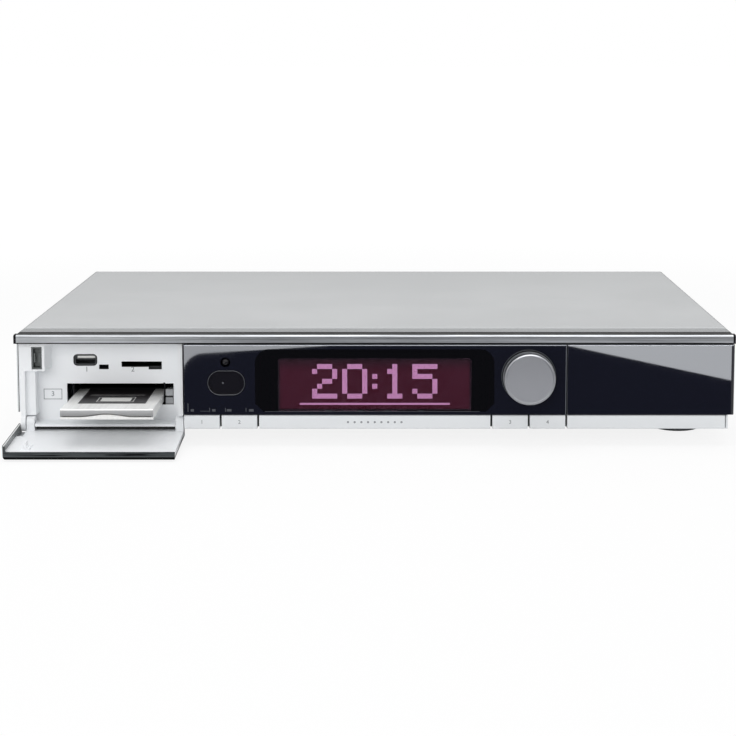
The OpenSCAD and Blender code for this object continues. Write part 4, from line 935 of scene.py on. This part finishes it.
# %% [markdown]
# ## Marks on the keys and the strip, painted reflections on the panel
# Each key has its number and rides on its own body, so its mark goes in with it. The centre strip has a row
# of dots. Along the panel's lower edge, small bars and ticks over the keys are painted reflections of the
# keys in that edge: a table in rows of one height each keeps their many places readable.

# %% Keys, strip and panel
key_bodies = {"key_power": "power_key", "key_mode": "mode_key",
              "key_media": "media_key", "key_back_step": "back_key"}
for number, (key, body) in enumerate(key_bodies.items(), 1):
    low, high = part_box(key)
    middle = ((low.x + high.x) / 2, (low.z + high.z) / 2)
    printed("mark_" + key, str(number), 2.3 * mm, middle, low.y, body, "strip_silver", grey_print, 0.05 * mm)
strip_middle = (strip_low.z + strip_high.z) / 2
strip_places = np.column_stack([(np.arange(9) - 4) * 4 * mm, np.full(9, strip_middle)])
strip_dots = dot_mesh("strip_dots", strip_places, 0.7 * mm, strip_low.y - film)
keep("strip_dots", strip_dots, "chassis", "strip_silver", grey_print)

# Each row of painted reflections: how high the marks begin, how tall they are, and where each one starts and
# ends along X.
reflection_rows = [
    (21.4, 1.5, [(-109.9, -108.0), (-97.2, -95.1), (-88.4, -85.6), (-75.1, -72.4)]),
    (21.5, 0.3, [(-104.3, -98.9)]),
    (21.3, 0.25, [(-65.6, 62.6)]),
    (21.2, 0.7, [(-29.8, -25.6), (-10.1, -7.1), (6.0, 9.0), (25.7, 29.3)]),
    (21.2, 5.2, [(-111.8, -111.3)]),
    (21.2, 2.4, [(-98.8, -98.4), (-89.4, -89.0), (-77.1, -76.7)])]
edge_reflections = [(x0, z, x1, z + tall) for z, tall, spans in reflection_rows for x0, x1 in spans]
film_bars("panel_edge_reflections", edge_reflections, front_y, "chassis", "panel_acrylic", painted_glint)
print("marks on the panel", len(edge_reflections))


# %% [markdown]
# ## Marks in the bay and on the module
# The bay's wall has three numbers, one of them in a thin frame. The module's label lies flat, so its marks
# are the same kind of block turned to face up: a white block in a frame, and a line behind it. They ride on
# the module and slide with it.

# %% Bay and label
def frame_of(x0, z0, x1, z1, line):
    """Four bars as the outline of a rectangle: bottom, top, left and right."""
    return [(x0, z0, x1, z0 + line), (x0, z1 - line, x1, z1), (x0, z0, x0 + line, z1), (x1 - line, z0, x1, z1)]


bay_wall = back(18.0)
for text, x, z in (("1", -174.7, 43.6), ("2", -146.8, 43.6), ("3", -195.5, 28.5)):
    printed("bay_mark_" + text, text, 3.0 * mm, (x * mm, z * mm), bay_wall, "chassis", "tray_plastic",
            grey_print, 0.04 * mm)
film_bars("bay_mark_frame", frame_of(-201.1, 25.2, -189.9, 31.7, 0.4), bay_wall, "chassis", "tray_plastic",
          grey_print)

# X and the distance behind the panels' face, in millimetres, of each bar's two corners.
label_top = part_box("module_label")[1].z
label_bars = [(-163.5, -3.4, -145.5, 6.4), *frame_of(-165.5, -5.4, -143.5, 8.4, 0.4),
              (-172.0, 14.6, -139.0, 15.0)]
label_lows = [(x0 * mm, back(y0), label_top) for x0, y0, x1, y1 in label_bars]
label_highs = [(x1 * mm, back(y1), label_top + film) for x0, y0, x1, y1 in label_bars]
keep("label_print", boxes("label_print", label_lows, label_highs), "access_card", "label_dark", white_print)
print("print laid")


# %% [markdown]
# ## Small parts of the front
# A thin metal rim runs round the oval sensor bezel: a stadium path swept by a small circle, with a grey
# dot inside it as a painted highlight. The USB socket shows its white tongue. Behind the dropped flap a
# black strip lies along the tub's edge as painted shade in the gap, and a white plate closes the bay's left
# side. Each is too fine for the CAD, and each is set against the piece that carries it.

# %% Rim, tongue, seal and side plate
bezel_low, bezel_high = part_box("sensor_bezel")
bezel_mid = (bezel_low + bezel_high) / 2
bezel_r = (bezel_high.z - bezel_low.z) / 2
bezel_run = (bezel_high.x - bezel_low.x) / 2 - bezel_r


def oval_ring(name, shrink, thick, y):
    """A tube round a stadium: path point +/- run + R (cos t, sin t), tube point R + r cos s and y - r sin s."""
    t = np.linspace(0, 2 * math.pi, 64, endpoint=False)
    s = np.linspace(0, 2 * math.pi, 10, endpoint=False)[:, None]
    reach = bezel_r - shrink + thick * np.cos(s)
    x = bezel_mid.x + np.where(np.cos(t) > 0, bezel_run, -bezel_run) + reach * np.cos(t)
    z = bezel_mid.z + reach * np.sin(t)
    return swept(name, np.stack([x, np.broadcast_to(y - thick * np.sin(s), x.shape), z], -1))


rim_metal = bare_metal("bezel rim", seen(120, 122, 126), 0.25, 0.35, contrast=0.2)
rim = oval_ring("bezel_rim", 0.3 * mm, 0.22 * mm, back(0.25))
keep("bezel_rim", rim, "chassis", "eye_plastic", rim_metal, smooth=True)
# Painted highlight: a grey dot inside the oval bezel.
bezel_highlight_dot = dot_mesh("bezel_highlight_dot", np.array([(-90.6 * mm, bezel_mid.z)]), 0.7 * mm, bezel_low.y - film)
keep("bezel_highlight_dot", bezel_highlight_dot, "chassis", "eye_plastic", painted_glint)
usb_low, usb_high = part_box("usb_socket")
usb_tongue = boxes("usb_tongue", [(usb_low.x + 1.8 * mm, back(19.2), usb_high.z - 1.8 * mm)],
                   [(usb_high.x - 0.8 * mm, back(30), usb_high.z - 0.3 * mm)])
keep("usb_tongue", usb_tongue, "chassis", "socket_metal", white_print)
# Painted shade: a black strip in the gap under the bay's floor lip, where shade falls.
gap_shade_strip = boxes("bay_shade_strip", [(-204 * mm, back(8), 9.0 * mm)], [(-120.5 * mm, back(10), 11.1 * mm)])
keep("bay_shade_strip", gap_shade_strip, "chassis", "ring_plastic")
plate = boxes("bay_side_plate", [(-213.95 * mm, back(8.7), 19.5 * mm)], [(-212.45 * mm, back(9.7), 62 * mm)])
keep("bay_side_plate", plate, "chassis", "tray_plastic")
print("front parts placed")


# %% [markdown]
# ## The rear sockets
# An aerial jack is a nut on a threaded tube with a white insulator in its mouth. The thread is a surface
# formula: round the axis by the angle t and along it by y, the radius is the mean radius plus a triangle
# wave of y / pitch - t / 2 pi. The tube's rings run up the outside and back down the bore, so each tube is
# one closed shell. The CAD's plain jacks fill the same box and are replaced by these.

# %% Aerial jacks
jack_low, jack_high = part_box("aerial_jacks")
tube_r, bore_r, insulator_r, contact_r = 4.7 * mm, 3.6 * mm, 3.55 * mm, 0.6 * mm
nut_r = 6.6 * mm
nut_flat = nut_r * math.cos(math.pi / 6)
jack_axes = [(x, z) for x in (jack_low.x + nut_r, jack_high.x - nut_r)
             for z in (jack_low.z + nut_flat, jack_high.z - nut_flat)]


def threaded(name, x, z, y0, y1, crest, bore, pitch=0.8 * mm, deep=0.35 * mm):
    """Thread: r(t, y) = crest - deep (1 - w) with the wave w = |2 frac(y / pitch - t / 2 pi) - 1|. Two last
    rings of the bore's radius, at y1 and y0, close the tube."""
    t = np.linspace(0, 2 * math.pi, 48, endpoint=False)
    y = np.linspace(y0, y1, int((y1 - y0) / pitch * 8))[:, None]
    wave = np.abs(2 * np.mod(y / pitch - t / (2 * math.pi), 1.0) - 1)
    outside = crest - deep * (1 - wave)
    radius = np.concatenate([outside, np.full((2, 48), bore)])
    along = np.concatenate([y, [[y1], [y0]]])
    return swept(name, np.stack([x + radius * np.cos(t), np.broadcast_to(along, radius.shape),
                                 z + radius * np.sin(t)], -1))


def at_each_jack(name, radius, corners, y0, y1):
    """A round or six-sided plate between two depths on every jack's axis."""
    return [slab(name, circle(x, z, radius, corners), y0, y1) for x, z in jack_axes]


tubes = [threaded("tube", x, z, jack_low.y, jack_high.y, tube_r, bore_r) for x, z in jack_axes]
nuts = [outward(nut) for nut in at_each_jack("nut", nut_r, 6, jack_low.y + 1.4 * mm, jack_low.y + 3.4 * mm)]
threads = keep("aerial_threads", joined("aerial_threads", tubes + nuts), "chassis", "socket_metal")
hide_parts("aerial_jacks")
plugs = at_each_jack("plug", insulator_r, 32, jack_low.y, jack_high.y - 0.8 * mm)
keep("aerial_insulators", outward(joined("aerial_insulators", plugs)), "chassis", "socket_metal", white_print)
pins = at_each_jack("pin", contact_r, 12, jack_high.y - 1.2 * mm, jack_high.y - 0.7 * mm)
keep("aerial_contacts", outward(joined("aerial_contacts", pins)), "chassis", "rotor_brass")
print("jacks", len(jack_axes))


# %% [markdown]
# ## Tongues, contacts and numbers at the rear
# A HDMI and a USB socket hold a plastic tongue, a network socket eight gold springs. They are blocks sized
# from each socket's own box. Plain numbers under the sockets stand where the real panel carries its marks.

# %% Rear contacts and numbers
def middle_x(node):
    """The X of a node's middle."""
    low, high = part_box(node)
    return (low.x + high.x) / 2


rear_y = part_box("rear_panel")[1].y
tongue_lows, tongue_highs = [], []
for node, half, low_z, high_z in (("hdmi_socket", 5.4, 3.2, 4.4), ("rear_usb_socket", 5.2, 3.2, 4.9)):
    floor_z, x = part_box(node)[0].z, middle_x(node)
    tongue_lows.append((x - half * mm, rear_y - 8 * mm, floor_z + low_z * mm))
    tongue_highs.append((x + half * mm, rear_y - 0.6 * mm, floor_z + high_z * mm))
keep("rear_tongues", boxes("rear_tongues", tongue_lows, tongue_highs), "chassis", "part_black")
spring_pitch, spring_size = 1.02 * mm, (0.36 * mm, 7.5 * mm, 0.3 * mm)
spring_x = middle_x("network_socket") + (np.arange(8) - 3.5) * spring_pitch - spring_size[0] / 2
spring_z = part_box("network_socket")[1].z - 4.2 * mm
spring_low = np.column_stack([spring_x, np.full(8, rear_y - 9 * mm), np.full(8, spring_z)])
springs = boxes("network_springs", spring_low, spring_low + spring_size)
keep("network_springs", springs, "chassis", "rotor_brass")
numbered = ["aerial_jacks", "cinch_block", "optical_socket", "scart_socket", "hdmi_socket", "network_socket",
            "rear_usb_socket", "mains_switch", "mains_inlet"]
for number, node in enumerate(numbered, 1):
    printed("rear_mark_" + node, str(number), 3.0 * mm, (middle_x(node), 18 * mm), rear_y, "chassis",
            "rear_steel", white_print, 0.05 * mm, facing=-1)
print("rear finished")


# %% [markdown]
# ## The studio floor
# The photograph is a studio shot on seamless white. A wide floor meets a white world. For rays from the
# camera the floor gives most of its white as a glow and only a little as light it receives, so it keeps a
# faint shadow of the receiver, and farther out the glow alone is white. Other rays meet plain white paper.

# %% Floor
def plain_stage(name, points, faces, material):
    """A stage object: part of the studio, not of the receiver."""
    mesh = mesh_of(name, points, faces)
    mesh.materials.append(material)
    piece = bpy.data.objects.new(name, mesh)
    bpy.context.scene.collection.objects.link(piece)
    return piece


def studio_floor():
    """White paper; camera rays see a glow that rises from 0.86 to 1.01 between 0.45 and 1.1 m from the middle,
    while the share of the paper's own light falls from 0.16 to 0."""
    material, tree, shader = start_material("studio floor", Roughness=0.9, Emission_Strength=1.0,
                                            Specular_IOR_Level=0.0)
    place = spot(tree)
    paper = put(tree, "ShaderNodeTexNoise", Vector=place, Scale=3.0)
    white = blend_colour(tree, paper.outputs[0], (0.88, 0.88, 0.88, 1), (0.9, 0.9, 0.9, 1))
    distance = put(tree, "ShaderNodeVectorMath", {"operation": "LENGTH"}, _0=place).outputs["Value"]
    far = put(tree, "ShaderNodeMapRange", {"interpolation_type": "SMOOTHSTEP"}, Value=distance,
              From_Min=0.45, From_Max=1.1).outputs[0]
    camera_ray = put(tree, "ShaderNodeLightPath").outputs["Is Camera Ray"]
    kept = maths(tree, "MULTIPLY_ADD", far, -0.16, 0.16)
    factor = put(tree, "ShaderNodeMapRange", Value=camera_ray, To_Min=1.0, To_Max=kept).outputs[0]
    glow = maths(tree, "MULTIPLY", maths(tree, "MULTIPLY_ADD", far, 0.15, 0.86), camera_ray)
    feed(tree, shader, Base_Color=scaled(tree, white, factor), Emission_Color=glow)
    return material


floor_half = 14.0
floor_corners = [(x * floor_half, y * floor_half, 0) for x, y in ((-1, -1), (1, -1), (1, 1), (-1, 1))]
plain_stage("studio_floor", floor_corners, [(0, 1, 2, 3)], studio_floor())
print("floor laid")


# %% [markdown]
# ## The world round it
# The camera sees a white world, and matt surfaces get one even light from it. Satin metal mirrors the room
# as soft tones, and a room that is the same all round makes it look flat. So for rays that a shiny surface
# sends out, the world has its own brightness at each height: a bright band low down, a darker one above it,
# and a bright ceiling.

# %% World
world = bpy.data.worlds.new("studio")
bpy.context.scene.world = world
world.use_nodes = True
sky = world.node_tree
background = sky.nodes["Background"]
sky_rays = put(sky, "ShaderNodeLightPath").outputs
direction = put(sky, "ShaderNodeTexCoord").outputs["Generated"]
upward = put(sky, "ShaderNodeSeparateXYZ", Vector=direction).outputs["Z"]
ramp = put(sky, "ShaderNodeValToRGB", Fac=upward)
# The sine of the angle above the horizon, and how bright the studio is there for a mirror-like surface.
mirrored_levels = [(0.0, 0.24), (0.077, 0.36), (0.129, 0.52), (0.165, 1.06), (0.205, 0.36),
                   (0.3, 0.3), (0.37, 1.3), (0.5, 0.72), (0.85, 0.72), (0.95, 1.4)]
while len(ramp.color_ramp.elements) < len(mirrored_levels):
    ramp.color_ramp.elements.new(0.5)
for element, (height, level) in zip(ramp.color_ramp.elements, mirrored_levels):
    element.position = height
    element.color = (level, level, level, 1)
even_light = (0.42, 0.42, 0.425, 1)
lit_sky = blend_colour(sky, sky_rays["Is Diffuse Ray"], ramp.outputs[0], even_light)
seen_sky = blend_colour(sky, sky_rays["Is Camera Ray"], lit_sky, (1, 1, 1, 1))
sky.links.new(seen_sky, background.inputs["Color"])
print("sky levels", len(mirrored_levels))


# %% [markdown]
# ## Reflection cards
# Polished acrylic shows whatever stands before it, so a photographer lays black and bright cards there, out
# of the picture. Their outlines are drawn on the panel, where their reflections belong, and thrown to the
# table by the law of reflection. The bright ones are linked to the acrylic alone, and their level is far
# above 1, because acrylic mirrors only about 4 percent.

# %% Cards
def thrown(outline, height):
    """Points (x, z) on the panel's front to the table: the eye's ray bends there and falls to that height.
    With t = (z - height) / (eye z - z), the place is x + t (x - eye x) and front - t (front - eye y)."""
    x, z = np.asarray(outline, float).T
    t = (z - height) / (eye.z - z)
    return np.column_stack([x + t * (x - eye.x), front_y - t * (front_y - eye.y), np.full(len(x), height)])


def lit_only(source, name, pieces):
    """Links a lamp or a glowing card to some pieces, so that nothing else receives its light."""
    group = bpy.data.collections.new(name)
    for piece in pieces:
        group.objects.link(piece)
    source.light_linking.receiver_collection = group


def card(name, outline, height, level):
    """A glowing card on the table that only glossy rays see."""
    material = start_material(name, Base_Color=(0, 0, 0, 1), Roughness=1.0, Specular_IOR_Level=0.0,
                              Emission_Color=(*level, 1), Emission_Strength=1.0)[0]
    points = thrown(outline, height)
    piece = plain_stage(name, points, [range(len(points))[::-1]], material)
    piece.visible_camera = piece.visible_diffuse = piece.visible_shadow = piece.visible_transmission = False
    return piece


edge = 4 * mm
left_x, right_x, top_z = panel_low.x - edge, right_high.x + edge, panel_high.z + edge
dark_right, dark_top = right_x + 2 * edge, panel_high.z + 0.4 * mm
dark_outline = [(left_x, strip_low.z), (dark_right, strip_low.z), (dark_right, dark_top), (left_x, dark_top)]
card("dark_card", dark_outline, 1 * mm, (0.1, 0.1, 0.13))

gleam_fall = 22.7 * mm
right_outline = [(right_low.x, panel_high.z - 0.4 * mm), (right_x, panel_high.z - gleam_fall),
                 (right_x, top_z), (right_low.x, top_z)]
right_card = card("right_gleam", right_outline, 2 * mm, (9.4, 9.7, 10.2))
lit_only(right_card, "right_gleam_on", [nodes["right_panel"]])

corner_r, gleam_end = 13 * mm, panel_low.x + 86 * mm
corner = circle(panel_low.x + corner_r - 0.6 * mm, panel_high.z - 5 * mm - corner_r, corner_r, 8,
                math.pi, -math.pi / 2)
left_outline = [*corner, (gleam_end, panel_high.z - 0.5 * mm), (gleam_end, top_z), (left_x, top_z),
                (left_x, corner[0][1])]
left_card = card("left_gleam", left_outline, 2 * mm, (7.4, 7.6, 8.0))
lit_only(left_card, "left_gleam_on", [front_panel, front_window])
print("cards laid")


# %% [markdown]
# ## Light
# A large softbox over the receiver models its top and edges. A second one, behind the camera and to its
# left, opens the front; it isn't mirrored, because its outline would show in the cover. Their power is set
# so that a white sheet on the table renders as white and no more. A third, small lamp lies before the dial
# and is linked to it alone: it gives the satin cap its slow change of tone.

# %% Lamps
def softbox(name, place, aim, width, height, radiance):
    """A rectangular lamp: power = radiance * pi * area."""
    lamp = bpy.data.lights.new(name, "AREA")
    lamp.shape, lamp.size, lamp.size_y = "RECTANGLE", width, height
    lamp.energy = radiance * math.pi * width * height
    light = bpy.data.objects.new(name, lamp)
    bpy.context.scene.collection.objects.link(light)
    light.location = place
    light.rotation_euler = (Vector(aim) - Vector(place)).to_track_quat("-Z", "Y").to_euler()
    return light


softbox("top_softbox", (0, -0.15, 1.5), (0, 0, 0), width=1.9, height=1.3, radiance=1.5)
front_light = softbox("front_softbox", (-0.7, -2.3, 0.95), (0, 0, 0.05), width=1.6, height=1.0, radiance=3.6)
front_light.visible_glossy = False
dial_lamp = softbox("dial_lamp", (knob_centre.x, back(-100), 4 * mm), tuple(knob_centre),
                    width=0.14, height=0.05, radiance=0.6)
lit_only(dial_lamp, "dial_lamp_on", [nodes["dial_knob"]])
print("lamps placed")
